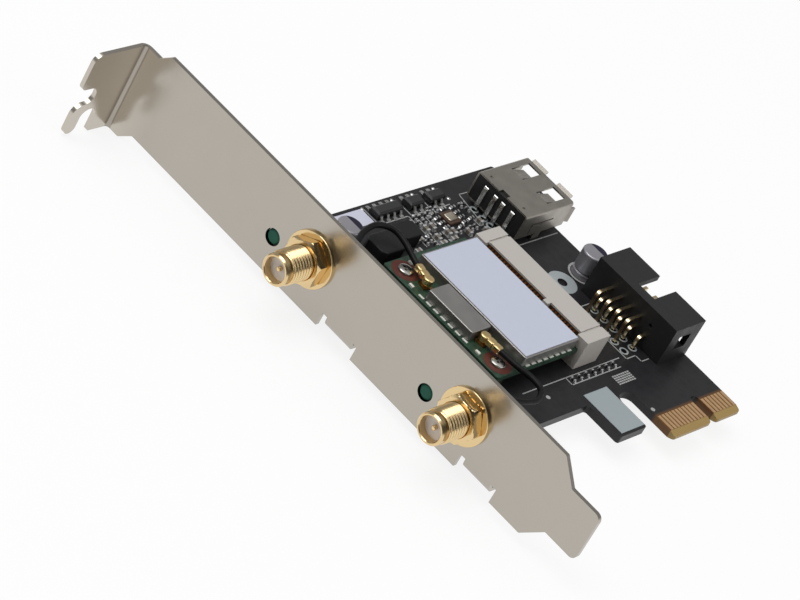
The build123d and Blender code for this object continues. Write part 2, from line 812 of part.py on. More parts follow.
# Radio module board with the two screws and standoffs at its bracket end
module_high_y = module_low_y + module_width
module_tongue = module_far_x - socket_front_x + socket_slot_clearance
module_low_step = socket_low_y + socket_end_block + socket_slot_clearance - module_low_y
module_high_step = module_high_y - socket_high_y + socket_end_block + socket_slot_clearance
module_holes = [(module_hole_x, module_centre_y + side * module_hole_pitch / 2) for side in (-1, 1)]
with BuildPart() as radio_board:
    with BuildSketch(Plane.XY.offset(module_under_z)):
        with Locations((module_near_x + module_length / 2, module_centre_y)):
            RectangleRounded(module_length, module_width, module_corner)
        with Locations(*module_holes):
            Circle(module_screw_radius + screw_clearance, mode=Mode.SUBTRACT)
        with Locations((module_far_x, module_low_y)):
            Rectangle(2 * module_tongue, 2 * module_low_step, mode=Mode.SUBTRACT)
        with Locations((module_far_x, module_high_y)):
            Rectangle(2 * module_tongue, 2 * module_high_step, mode=Mode.SUBTRACT)
    extrude(amount=module_thickness)
radio_board.part.label = "radio_board"
export_step(radio_board.part, "parts/radio_board.step")

with BuildPart() as module_standoffs:
    with BuildSketch(Plane.XY):
        with Locations(*module_holes):
            Circle(standoff_radius)
    extrude(amount=module_rise)
    with BuildSketch(Plane.XY):
        with Locations(*module_holes):
            Circle(module_screw_radius + screw_clearance)
    extrude(amount=module_rise, mode=Mode.SUBTRACT)
module_standoffs.part.label = "module_standoffs"
export_step(module_standoffs.part, "parts/module_standoffs.step")

with BuildPart() as module_screws:
    with BuildSketch(Plane.XY.offset(standoff_skirt)):
        with Locations(*module_holes):
            Circle(module_screw_radius)
    extrude(amount=module_top_z - standoff_skirt)
    with BuildSketch(Plane.XY.offset(module_top_z)):
        with Locations(*module_holes):
            Circle(module_screw_head_radius)
    extrude(amount=module_screw_head_height)
    fillet(module_screws.edges().filter_by(GeomType.CIRCLE).group_by(Axis.Z)[-1],
           radius=module_screw_dome)
module_screws.part.label = "module_screws"
export_step(module_screws.part, "parts/module_screws.step")

# Shield cans on the module, open below
shields = {
    "main_shield": (main_shield_offset, main_shield_length, main_shield_width),
    "small_shield": (small_shield_offset, small_shield_length, small_shield_width),
}
for shield_name, ((offset_x, offset_y), shield_length, shield_width) in shields.items():
    shield_x = module_near_x + offset_x + shield_length / 2
    shield_y = module_low_y + offset_y + shield_width / 2
    with BuildPart() as shield:
        with BuildSketch(Plane.XY.offset(module_top_z)):
            with Locations((shield_x, shield_y)):
                RectangleRounded(shield_length, shield_width, 2 * shield_radius)
        extrude(amount=shield_height)
        fillet(shield.faces().sort_by(Axis.Z)[-1].edges(), radius=shield_radius)
        with BuildSketch(Plane.XY.offset(module_top_z)):
            with Locations((shield_x, shield_y)):
                RectangleRounded(shield_length - 2 * shield_sheet, shield_width - 2 * shield_sheet,
                                 shield_radius)
        extrude(amount=shield_height - shield_sheet, mode=Mode.SUBTRACT)
    shield.part.label = shield_name
    export_step(shield.part, f"parts/{shield_name}.step")

with BuildPart() as shield_label:
    with BuildSketch(Plane.XY.offset(shield_top_z)):
        with Locations((module_near_x + main_shield_offset[0], module_low_y + main_shield_offset[1])):
            with Locations((main_shield_length / 2, main_shield_width / 2)):
                Rectangle(main_shield_length - 2 * label_margin, main_shield_width - 2 * label_margin)
    extrude(amount=label_thickness)
shield_label.part.label = "shield_label"
export_step(shield_label.part, "parts/shield_label.step")

# Card socket: housing with a card slot, end blocks, a key rib and a channel for each upper spring
slot_low_z = module_under_z - socket_slot_clearance
slot_high_z = module_top_z + socket_slot_clearance
spring_centre_y = (socket_low_y + socket_high_y) / 2
opening_length = socket_length - 2 * socket_end_block
with BuildPart() as card_socket:
    with BuildSketch(Plane.XY):
        with Locations((socket_front_x, spring_centre_y)):
            Rectangle(socket_depth, socket_length, align=(Align.MIN, Align.CENTER))
    extrude(amount=socket_height)
    with BuildSketch(Plane.YZ.offset(socket_front_x)):
        with Locations((spring_centre_y, slot_low_z)):
            Rectangle(opening_length, slot_high_z - slot_low_z, align=(Align.CENTER, Align.MIN))
    extrude(amount=module_tongue, mode=Mode.SUBTRACT)
    with BuildSketch(Plane.XY.offset(slot_high_z)):
        with Locations((socket_front_x, spring_centre_y)):
            Rectangle(socket_lip_setback, opening_length, align=(Align.MIN, Align.CENTER))
        with Locations((socket_front_x, socket_key_y)):
            Rectangle(socket_lip_setback, socket_key_width, align=(Align.MIN, Align.CENTER),
                      mode=Mode.SUBTRACT)
    extrude(amount=socket_height - slot_high_z, mode=Mode.SUBTRACT)
    with BuildSketch(Plane.YZ.offset(socket_lip_x)):
        with Locations(*[(y, spring_top_z - spring_sheet) for y in spring_ys]):
            Rectangle(spring_width, spring_sheet, align=(Align.CENTER, Align.MIN))
    extrude(amount=socket_rear_x - socket_lip_x, mode=Mode.SUBTRACT)
    with BuildSketch(Plane.XY.offset(socket_height)):
        with Locations((socket_lip_x, spring_centre_y - opening_length / 2),
                       (socket_lip_x, spring_centre_y + opening_length / 2)):
            Rectangle(socket_rear_x - socket_lip_x, 2 * socket_end_groove, align=(Align.MIN, Align.CENTER))
    extrude(amount=-socket_end_groove, mode=Mode.SUBTRACT)
card_socket.part.label = "card_socket"
export_step(card_socket.part, "parts/card_socket.step")

with BuildPart() as socket_springs:
    with BuildSketch(Plane.XZ):
        with BuildLine():
            Polyline(
                (socket_front_x + spring_front_gap, module_top_z),
                (socket_front_x + spring_front_gap, spring_top_z),
                (socket_rear_x + spring_sheet, spring_top_z),
                (socket_rear_x + spring_sheet, spring_sheet),
                (socket_rear_x + spring_sheet + spring_tail, spring_sheet),
                (socket_rear_x + spring_sheet + spring_tail, 0),
                (socket_rear_x, 0),
                (socket_rear_x, spring_top_z - spring_sheet),
                (socket_front_x + spring_front_gap + spring_sheet, spring_top_z - spring_sheet),
                (socket_front_x + spring_front_gap + spring_sheet, module_top_z),
                close=True,
            )
        make_face()
        with BuildLine():
            Polyline(
                (socket_front_x - spring_sheet - spring_tail, 0),
                (socket_front_x, 0),
                (socket_front_x, module_under_z),
                (socket_front_x - spring_sheet, module_under_z),
                (socket_front_x - spring_sheet, spring_sheet),
                (socket_front_x - spring_sheet - spring_tail, spring_sheet),
                close=True,
            )
        make_face()
    spring_profile = extrude(amount=spring_width, mode=Mode.PRIVATE)
    with Locations(*[(0, y + spring_width / 2, 0) for y in spring_ys]):
        add(spring_profile)
socket_springs.part.label = "socket_springs"
export_step(socket_springs.part, "parts/socket_springs.step")

# Port shell: folded tube with spring fingers, flared lips and two board legs
port_height = port_high_z - port_low_z
port_middle_z = (port_low_z + port_high_z) / 2
with BuildPart() as port_shell:
    with BuildSketch(Plane.YZ.offset(port_rear_x)):
        with Locations((port_centre_y, port_middle_z)):
            RectangleRounded(port_width, port_height, port_radius)
            RectangleRounded(port_inner_width, port_height - 2 * port_sheet, port_radius - port_sheet,
                             mode=Mode.SUBTRACT)
    extrude(amount=port_front_x - port_rear_x)
    with BuildSketch(Plane.XY.offset(port_inner_high_z)):
        with Locations((port_window_near_x, port_centre_y - port_finger_offset),
                       (port_window_near_x, port_centre_y + port_finger_offset)):
            Rectangle(port_window_far_x - port_window_near_x, port_window_width,
                      align=(Align.MIN, Align.CENTER))
        with Locations((port_rear_x, port_centre_y)):
            Rectangle(port_notch_depth, port_notch_width, align=(Align.MIN, Align.CENTER))
    extrude(amount=port_sheet, mode=Mode.SUBTRACT)
    with BuildSketch(Plane.XY.offset(port_high_z)):
        with Locations((port_rear_x + port_dimple_inset, port_centre_y)):
            with GridLocations(0, 2 * port_dimple_offset, 1, 2):
                Rectangle(port_dimple, port_dimple)
    extrude(amount=-port_dimple_depth, mode=Mode.SUBTRACT)
    for side in (-1, 1):
        with BuildSketch(Plane.XZ.offset(-port_centre_y - side * port_width / 2)):
            with Locations((port_slit_near_x, port_slit_high_z)):
                Rectangle(port_slit_far_x - port_slit_near_x, port_slit, align=(Align.MIN, Align.MIN))
            with Locations((port_slit_near_x, port_slit_low_z)):
                Rectangle(port_slit, port_slit_high_z - port_slit_low_z, align=(Align.MIN, Align.MIN))
        extrude(amount=side * port_sheet, mode=Mode.SUBTRACT)
    for side in (-1, 1):
        finger_y = port_centre_y + side * port_finger_offset
        with BuildSketch(Plane.XZ.offset(-finger_y - port_spring_width / 2)):
            with BuildLine():
                Polyline(
                    (port_window_near_x, port_inner_high_z),
                    (port_window_near_x + port_spring_length, port_inner_high_z - port_spring_dip),
                    (port_window_near_x + port_spring_length, port_high_z - port_spring_dip),
                    (port_window_near_x, port_high_z),
                    close=True,
                )
            make_face()
        extrude(amount=port_spring_width)
        for lip_z, rise in ((port_high_z, port_lip_rise), (port_low_z, -port_lip_rise)):
            inner_z = lip_z - port_sheet if rise > 0 else lip_z + port_sheet
            with BuildSketch(Plane.XZ.offset(-finger_y - port_lip_width / 2)):
                with BuildLine():
                    Polyline(
                        (port_front_x, lip_z),
                        (port_front_x + port_lip_length, lip_z + rise),
                        (port_front_x + port_lip_length, inner_z + rise),
                        (port_front_x, inner_z),
                        close=True,
                    )
                make_face()
            extrude(amount=port_lip_width)
        wall_y = port_centre_y + side * port_width / 2
        with BuildSketch(Plane.XY.offset(port_middle_z - port_side_lip_height / 2)):
            with BuildLine():
                Polyline(
                    (port_front_x, wall_y),
                    (port_front_x + port_lip_length, wall_y + side * port_lip_rise),
                    (port_front_x + port_lip_length, wall_y + side * (port_lip_rise - port_sheet)),
                    (port_front_x, wall_y - side * port_sheet),
                    close=True,
                )
            make_face()
        extrude(amount=port_side_lip_height)
        with BuildSketch(Plane.XY.offset(board_under_z - port_leg_tail)):
            with Locations((port_leg_x, wall_y - side * port_sheet / 2)):
                Rectangle(port_leg_width, port_sheet)
        extrude(amount=port_middle_z - board_under_z + port_leg_tail)
port_shell.part.label = "port_shell"
export_step(port_shell.part, "parts/port_shell.step")

# Port contacts: strips along the tongue that step up, leave at the rear and run down into the board
contact_top_z = port_tongue_top_z + port_pin_sheet
with BuildPart() as port_pins:
    with BuildSketch(Plane.XZ):
        with BuildLine():
            rounded_outline([
                (port_pin_front_x, port_tongue_top_z, 0),
                (port_pin_front_x, contact_top_z, 0),
                (port_pin_step_x + port_pin_sheet, contact_top_z, 0),
                (port_pin_step_x + port_pin_sheet, port_pin_step_z, 0),
                (port_pin_rear_x, port_pin_step_z, port_pin_bend),
                (port_pin_rear_x, board_under_z - port_pin_tail, 0),
                (port_rear_x, board_under_z - port_pin_tail, 0),
                (port_rear_x, port_pin_step_z - port_pin_sheet, port_pin_bend - port_pin_sheet),
                (port_pin_step_x, port_pin_step_z - port_pin_sheet, 0),
                (port_pin_step_x, port_tongue_top_z, 0),
            ])
        make_face()
    pin_profile = extrude(amount=port_pin_width, mode=Mode.PRIVATE)
    with Locations(*[(0, y + port_pin_width / 2, 0) for y in port_pin_ys]):
        add(pin_profile)
port_pins.part.label = "port_pins"
export_step(port_pins.part, "parts/port_pins.step")

# Port insulator: rear block standing on the board, with a tongue between the contacts
with BuildPart() as port_insulator:
    with BuildSketch(Plane.YZ.offset(port_rear_x)):
        with Locations((port_centre_y, port_inner_low_z + port_clearance)):
            RectangleRounded(port_inner_width - 2 * port_clearance,
                             port_inner_high_z - port_inner_low_z - 2 * port_clearance,
                             port_radius - port_sheet, align=(Align.CENTER, Align.MIN))
    extrude(amount=port_block_front_x - port_rear_x)
    with BuildSketch(Plane.YZ.offset(port_block_front_x)):
        with Locations((port_centre_y, port_tongue_top_z)):
            Rectangle(port_tongue_width, port_tongue_thickness, align=(Align.CENTER, Align.MAX))
    extrude(amount=port_tongue_front_x - port_block_front_x)
    add(port_pins.part, mode=Mode.SUBTRACT)
port_insulator.part.label = "port_insulator"
export_step(port_insulator.part, "parts/port_insulator.step")

# Header shroud: box open to the far edge, with a key slot and a window in each end
header_high_y = header_centre_y + header_length / 2
with BuildPart() as header_shroud:
    with BuildSketch(Plane.YZ.offset(header_near_x)):
        with Locations((header_centre_y, 0)):
            Rectangle(header_length, header_height, align=(Align.CENTER, Align.MIN))
    extrude(amount=header_far_x - header_near_x)
    with BuildSketch(Plane.YZ.offset(header_near_x + header_rear_wall)):
        with Locations((header_centre_y, header_wall)):
            Rectangle(header_length - 2 * header_wall, header_height - 2 * header_wall,
                      align=(Align.CENTER, Align.MIN))
    extrude(amount=header_far_x - header_near_x - header_rear_wall, mode=Mode.SUBTRACT)
    with BuildSketch(Plane.XY.offset(header_height - header_wall)):
        with Locations((header_slot_near_x, header_centre_y)):
            Rectangle(header_far_x - header_slot_near_x, header_slot_width, align=(Align.MIN, Align.CENTER))
    extrude(amount=header_wall, mode=Mode.SUBTRACT)
    with BuildSketch(Plane.XZ.offset(-header_high_y)):
        with Locations((header_window_near_x, header_window_low_z)):
            Rectangle(header_window_far_x - header_window_near_x, header_window_high_z - header_window_low_z,
                      align=(Align.MIN, Align.MIN))
    extrude(amount=header_length, mode=Mode.SUBTRACT)
    with BuildSketch(Plane.YZ.offset(header_near_x)):
        with Locations(*[(y, z) for y in header_ys for z in header_rows_z]):
            Rectangle(header_pin, header_pin)
    extrude(amount=header_rear_wall, mode=Mode.SUBTRACT)
header_shroud.part.label = "header_shroud"
export_step(header_shroud.part, "parts/header_shroud.step")

# Header pins: bent square wire in two rows, one place of the outer row left empty as the key
with BuildPart() as header_pins:
    for row_z, leg_x in zip(header_rows_z, header_legs_x):
        wire_outline = [
            (header_far_x - header_pin_front_setback, row_z - header_pin / 2, 0),
            (header_far_x - header_pin_front_setback, row_z + header_pin / 2, 0),
            (leg_x - header_pin / 2, row_z + header_pin / 2, header_pin_bend),
            (leg_x - header_pin / 2, board_under_z - header_pin_tail, 0),
            (leg_x + header_pin / 2, board_under_z - header_pin_tail, 0),
            (leg_x + header_pin / 2, row_z - header_pin / 2, header_pin_bend - header_pin),
        ]
        with BuildSketch(Plane.XZ):
            with BuildLine():
                rounded_outline(wire_outline)
            make_face()
        row_ys = header_ys if row_z == header_low_row_z else header_ys[:-1]
        pin_wire = extrude(amount=header_pin, mode=Mode.PRIVATE)
        with Locations(*[(0, y + header_pin / 2, 0) for y in row_ys]):
            add(pin_wire)
header_pins.part.label = "header_pins"
export_step(header_pins.part, "parts/header_pins.step")

# Can capacitors with their leads
for place, (can_x, can_y) in can_places.items():
    with BuildPart() as can_capacitor:
        with BuildSketch(Plane.XY):
            with Locations((can_x, can_y)):
                Circle(can_radius)
        extrude(amount=can_height)
        fillet(can_capacitor.edges().group_by(Axis.Z)[-1], radius=can_edge)
        groove_plane = Plane(origin=(can_x, can_y, 0), x_dir=(1, 0, 0), z_dir=(0, -1, 0))
        with BuildSketch(groove_plane):
            with Locations((can_radius, can_groove_z)):
                Circle(can_groove_radius)
        revolve(axis=Axis((can_x, can_y, 0), (0, 0, 1)), mode=Mode.SUBTRACT)
    can_capacitor.part.label = f"can_capacitor_{place}"
    export_step(can_capacitor.part, f"parts/can_capacitor_{place}.step")

with BuildPart() as can_leads:
    with BuildSketch(Plane.XY.offset(board_under_z - lead_tail)):
        with Locations(*[(x, y) for x, y in can_places.values()]):
            with GridLocations(can_lead_pitch, 0, 2, 1):
                Circle(can_lead_radius)
    extrude(amount=lead_tail + board_thickness)
can_leads.part.label = "can_leads"
export_step(can_leads.part, "parts/can_leads.step")

# Chokes: low ferrite blocks with cut corners
for place, (choke_x, choke_y) in choke_places.items():
    choke_length, choke_width, choke_height = choke_sizes[place]
    with BuildPart() as choke:
        with BuildSketch(Plane.XY) as choke_face:
            with Locations((choke_x, choke_y)):
                Rectangle(choke_length, choke_width)
            chamfer(choke_face.vertices(), length=choke_corner)
        extrude(amount=choke_height)
        fillet(choke.faces().sort_by(Axis.Z)[-1].edges(), radius=choke_edge)
    choke.part.label = f"choke_{place}"
    export_step(choke.part, f"parts/choke_{place}.step")

# Power chips along the top edge: moulded bodies and gull-wing leads
for place, (chip_x, chip_y) in chip_places.items():
    with BuildPart() as chip:
        with BuildSketch(Plane.XY.offset(chip_lift)):
            with Locations((chip_x, chip_y)):
                Rectangle(chip_lengths[place], chip_width)
        extrude(amount=chip_height)
        chamfer(chip.faces().sort_by(Axis.Z)[-1].edges(), length=chip_edge)
    chip.part.label = f"power_chip_{place}"
    export_step(chip.part, f"parts/power_chip_{place}.step")

lead_exit_z = chip_lift + chip_height / 2
with BuildPart() as chip_leads:
    for place, (chip_x, chip_y) in chip_places.items():
        lead_gaps = round(chip_lengths[place] / chip_lead_pitch) - 1
        for side in (-1, 1):
            edge_y = chip_y + side * chip_width / 2
            shoulder_y = edge_y + side * chip_lead_shoulder
            heel_y = edge_y + side * chip_lead_heel
            foot_y = edge_y + side * chip_lead_reach
            for index in range(lead_gaps + 1):
                lead_x = chip_x + chip_lead_pitch * (index - lead_gaps / 2)
                with BuildSketch(Plane.YZ.offset(lead_x - chip_lead_width / 2)):
                    with BuildLine():
                        Polyline(
                            (edge_y, lead_exit_z),
                            (shoulder_y, lead_exit_z),
                            (heel_y, chip_lead_sheet),
                            (foot_y, chip_lead_sheet),
                            (foot_y, 0),
                            (heel_y - side * chip_lead_sheet / 2, 0),
                            (shoulder_y - side * chip_lead_sheet / 2, lead_exit_z - chip_lead_sheet),
                            (edge_y, lead_exit_z - chip_lead_sheet),
                            close=True,
                        )
                    make_face()
                extrude(amount=chip_lead_width)
chip_leads.part.label = "chip_leads"
export_step(chip_leads.part, "parts/chip_leads.step")

# Clock crystal: ceramic tray and metal lid
with BuildPart() as crystal_tray:
    with BuildSketch(Plane.XY):
        with Locations(crystal_place):
            RectangleRounded(crystal_length, crystal_width, crystal_corner)
    extrude(amount=crystal_height)
crystal_tray.part.label = "crystal_tray"
export_step(crystal_tray.part, "parts/crystal_tray.step")

with BuildPart() as crystal_lid:
    with BuildSketch(Plane.XY.offset(crystal_height)):
        with Locations(crystal_place):
            RectangleRounded(crystal_lid_length, crystal_lid_width, crystal_corner)
    extrude(amount=crystal_lid_height)
    chamfer(crystal_lid.faces().sort_by(Axis.Z)[-1].edges(), length=crystal_lid_edge)
crystal_lid.part.label = "crystal_lid"
export_step(crystal_lid.part, "parts/crystal_lid.step")

# Small chip resistors, the row below the socket among them, and chip capacitors
resistor_places["y"] += [(low_row_x + low_row_pitch * i, low_row_y) for i in range(low_row_count)]
passives = {
    "chip_resistors": (resistor_places, resistor_size),
    "chip_capacitors": (capacitor_places, capacitor_size),
}
for passive_name, (places, (length, width, height)) in passives.items():
    with BuildPart() as passive:
        with BuildSketch(Plane.XY):
            with Locations(*places["x"]):
                Rectangle(length, width)
            with Locations(*places["y"]):
                Rectangle(width, length)
        extrude(amount=height)
        fillet(passive.edges().group_by(Axis.Z)[-1], radius=passive_fillet)
    passive.part.label = passive_name
    export_step(passive.part, f"parts/{passive_name}.step")
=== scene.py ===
import math

import bmesh
import bpy
import numpy as np
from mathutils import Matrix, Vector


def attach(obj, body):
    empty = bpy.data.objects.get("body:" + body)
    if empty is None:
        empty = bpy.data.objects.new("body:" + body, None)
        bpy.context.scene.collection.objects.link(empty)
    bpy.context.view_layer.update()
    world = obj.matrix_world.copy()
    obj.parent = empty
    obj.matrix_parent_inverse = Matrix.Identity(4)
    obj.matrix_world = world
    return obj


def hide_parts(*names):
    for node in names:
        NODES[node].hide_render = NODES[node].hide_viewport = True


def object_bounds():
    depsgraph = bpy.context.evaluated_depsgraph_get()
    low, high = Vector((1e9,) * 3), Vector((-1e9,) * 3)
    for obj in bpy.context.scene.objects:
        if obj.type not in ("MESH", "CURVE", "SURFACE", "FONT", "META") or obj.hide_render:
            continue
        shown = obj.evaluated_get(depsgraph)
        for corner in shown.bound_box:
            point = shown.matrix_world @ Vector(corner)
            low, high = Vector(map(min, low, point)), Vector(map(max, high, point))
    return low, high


bl_info = {
    "name": "Wireless Network Card",
    "version": (1, 0, 0),
    "blender": (4, 5, 0),
    "location": "3D View > Sidebar > Network Card",
    "description": "Finishes and fine detail for a wireless network card on a full-height bracket",
    "category": "Object",
}

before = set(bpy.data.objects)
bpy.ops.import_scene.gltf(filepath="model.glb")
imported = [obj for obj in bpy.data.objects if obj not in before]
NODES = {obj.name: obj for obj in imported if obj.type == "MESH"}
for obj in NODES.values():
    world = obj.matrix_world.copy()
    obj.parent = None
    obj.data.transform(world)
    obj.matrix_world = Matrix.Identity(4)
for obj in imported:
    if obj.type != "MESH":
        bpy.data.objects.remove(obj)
CAD_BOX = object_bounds()
MM = 0.001

# Places on the card in millimetres: +X from the bracket to the far edge, +Y towards the screw tab,
# +Z out of the component face. Facets and the last number of a plug are turns in degrees
JACKS = {"upper": (55.3, 5.91), "lower": (15.3, 5.91)}
JACK_FACETS = {"upper": 124.0, "lower": 92.0}
BRACKET_INNER_X, BRACKET_OUTER_X = -58.65, -59.51
NUT_INNER_X, NUT_OUTER_X = -60.11, -62.41
THREAD_END_X, RELIEF_END_X, JACK_TIP_X = -67.41, -67.91, -69.01
FLANGE_REAR_X, BARREL_REAR_X, BORE_END_X = -56.85, -53.85, -63.81
THREAD_RADIUS, ENGAGED_RADIUS, RELIEF_RADIUS, COLLAR_RADIUS, BORE_RADIUS = 3.175, 3.0, 2.7, 2.95, 2.3
BARREL_RADIUS, HEX_HALF = 1.9, 4.0
BOARD_UNDER_Z, MODULE_TOP_Z = -1.57, 4.0
PLUGS = {"upper": (-39.1, 43.9, 75.0), "lower": (-39.0, 29.05, -86.0)}
MODULE_SCREWS = ((-39.9, 24.1), (-39.9, 48.3))
LUG_SCREWS = ((-53.05, 43.85), (-53.05, 8.0))
HEADER_Y, HEADER_PITCH = 25.0, 2.54
HEADER_LEGS = [(x, HEADER_Y + HEADER_PITCH * i) for x in (-2.3, -4.84) for i in (-2, -1, 0, 1, 2)]
HEADER_SPARE = (-4.84, 19.92)
PORT_PINS = [(-6.225, 55.65 + y) for y in (-3.5, -1.0, 1.0, 3.5)]
PORT_LEGS = ((0.6, 49.275), (0.6, 62.025))
CAN_PLACES = {"far": (3.6, 38.3), "near": (-43.6, 60.1)}
CAN_LEADS = [(x + side, y) for x, y in CAN_PLACES.values() for side in (-1, 1)]
LIGHT_YS, LIGHT_Z = (63.9, 23.9), 3.35
LIGHT_HOLE_REACH = 1.8
LIGHT_LEADS = [(-50.45, y + side * 1.27) for y in LIGHT_YS for side in (-1, 1)]
SPARE_HOLE = (-3.0, 38.0)
# Middle of each power chip, its length and its leads a side
CHIPS = ((-26.4, 64.4, 6.9, 4), (-18.9, 64.3, 3.9, 2), (-13.1, 64.2, 4.1, 2))
CHIP_LEAD_PITCH = 1.8
# Springs on both sides of the socket's key, one pitch apart
SOCKET_KEY_Y, KEY_REACH, SPRING_PITCH = 31.3, 1.6, 0.8
SPRING_YS = ([SOCKET_KEY_Y - KEY_REACH - SPRING_PITCH * i for i in range(8)]
             + [SOCKET_KEY_Y + KEY_REACH + SPRING_PITCH * i for i in range(18)])
SOCKET_SLOTS, SLOT_BASE_Z = ((22.8, 30.6), (32.0, 47.0)), 4.12
# Middles of the chip parts, by the axis that they lie along
RESISTORS = {
    "x": [(-16.4, 59.7), (-16.4, 58.4), (-16.4, 57.2), (-18.2, 58.4), (-10.8, 59.7), (-10.7, 61.0),
          (-10.8, 58.4), (-11.1, 57.1), (-13.1, 61.3), (-16.3, 61.0), (-12.9, 56.4), (-19.2, 56.0),
          (-19.4, 54.1), (-22.2, 56.6), (-8.9, 57.5), (-7.6, 61.2)],
    "y": [(-20.1, 59.8), (-21.7, 59.8), (-18.1, 59.8), (-20.0, 61.0), (-21.6, 61.1), (-18.4, 61.0),
          (-17.4, 61.4), (-22.9, 55.7), (-24.2, 55.3), (-22.5, 54.4), (-15.0, 61.6), (-15.9, 62.0),
          (-16.8, 62.0), (-8.7, 60.9), (-7.9, 59.6), (-25.5, 60.4), (-24.4, 60.4), (-23.2, 60.4),
          (-24.4, 58.6), (-23.3, 58.6), (-14.5, 55.6), (-11.3, 55.4), (-10.0, 55.4)]
         + [(-22.2 + 2.0 * i, 18.0) for i in range(7)],
}
CAPACITORS = {
    "x": [(-25.4, 56.1), (-28.2, 53.9), (-17.7, 54.1), (-21.1, 53.9)],
    "y": [(-21.7, 58.0), (-19.9, 58.0), (-17.6, 55.8), (-16.2, 55.6), (-21.0, 55.4), (-12.9, 54.6),
          (-8.0, 56.2), (-8.6, 53.6)],
}
# Length, width and height of a chip part
RESISTOR_SIZE = (1.0, 0.5, 0.4)
CAPACITOR_SIZE = (1.5, 0.8, 0.75)
# Middle of each choke, its length and its width
CHOKES = ((-37.5, 55.4, 6.6, 5.2), (-29.1, 57.4, 5.6, 4.3))
# Camera place in metres and turn in degrees
CAMERA_PLACE = (-0.545799, -0.204625, 0.375927)
CAMERA_TURN = (52.388568, -24.469957, -45.913333)


def linear(red, green, blue):
    """Scene-linear colour of an 8-bit display colour: each channel is divided by 255 and put through the
    display curve."""
    share = np.array((red, green, blue)) / 255
    return np.where(share <= 0.04045, share / 12.92, ((share + 0.055) / 1.055) ** 2.4).tolist()


def colour_property(name, description, display):
    """A colour setting whose default is given as an 8-bit display colour."""
    return bpy.props.FloatVectorProperty(name=name, description=description, default=linear(*display), size=3,
                                         min=0.0, max=1.0, subtype="COLOR")


def length_property(name, description, millimetres):
    """A length setting whose default is given in millimetres."""
    return bpy.props.FloatProperty(name=name, description=description, default=millimetres * MM, min=0.0,
                                   precision=5, subtype="DISTANCE", unit="LENGTH")


class CardSizes(bpy.types.PropertyGroup):
    """Sizes of the fine detail."""
    thread_pitch: length_property("Thread Pitch", "Distance between the jack's thread turns", 0.706)
    thread_depth: length_property("Thread Depth", "Depth of the jack's thread", 0.24)
    nut_chamfer: length_property("Nut Chamfer", "How far the nut's corners are cut back", 0.4)
    plug_edge: length_property("Plug Edge", "Rounding of the pigtail plug", 0.22)
    solder_rise: length_property("Solder Rise", "Height of a solder joint round a lead", 0.7)
    solder_reach: length_property("Solder Reach", "Radius of a solder joint at the board", 0.85)
    mark_rise: length_property("Mark Rise", "Thickness of the printed marks", 0.02)
    mark_width: length_property("Mark Width", "Width of a printed line", 0.2)


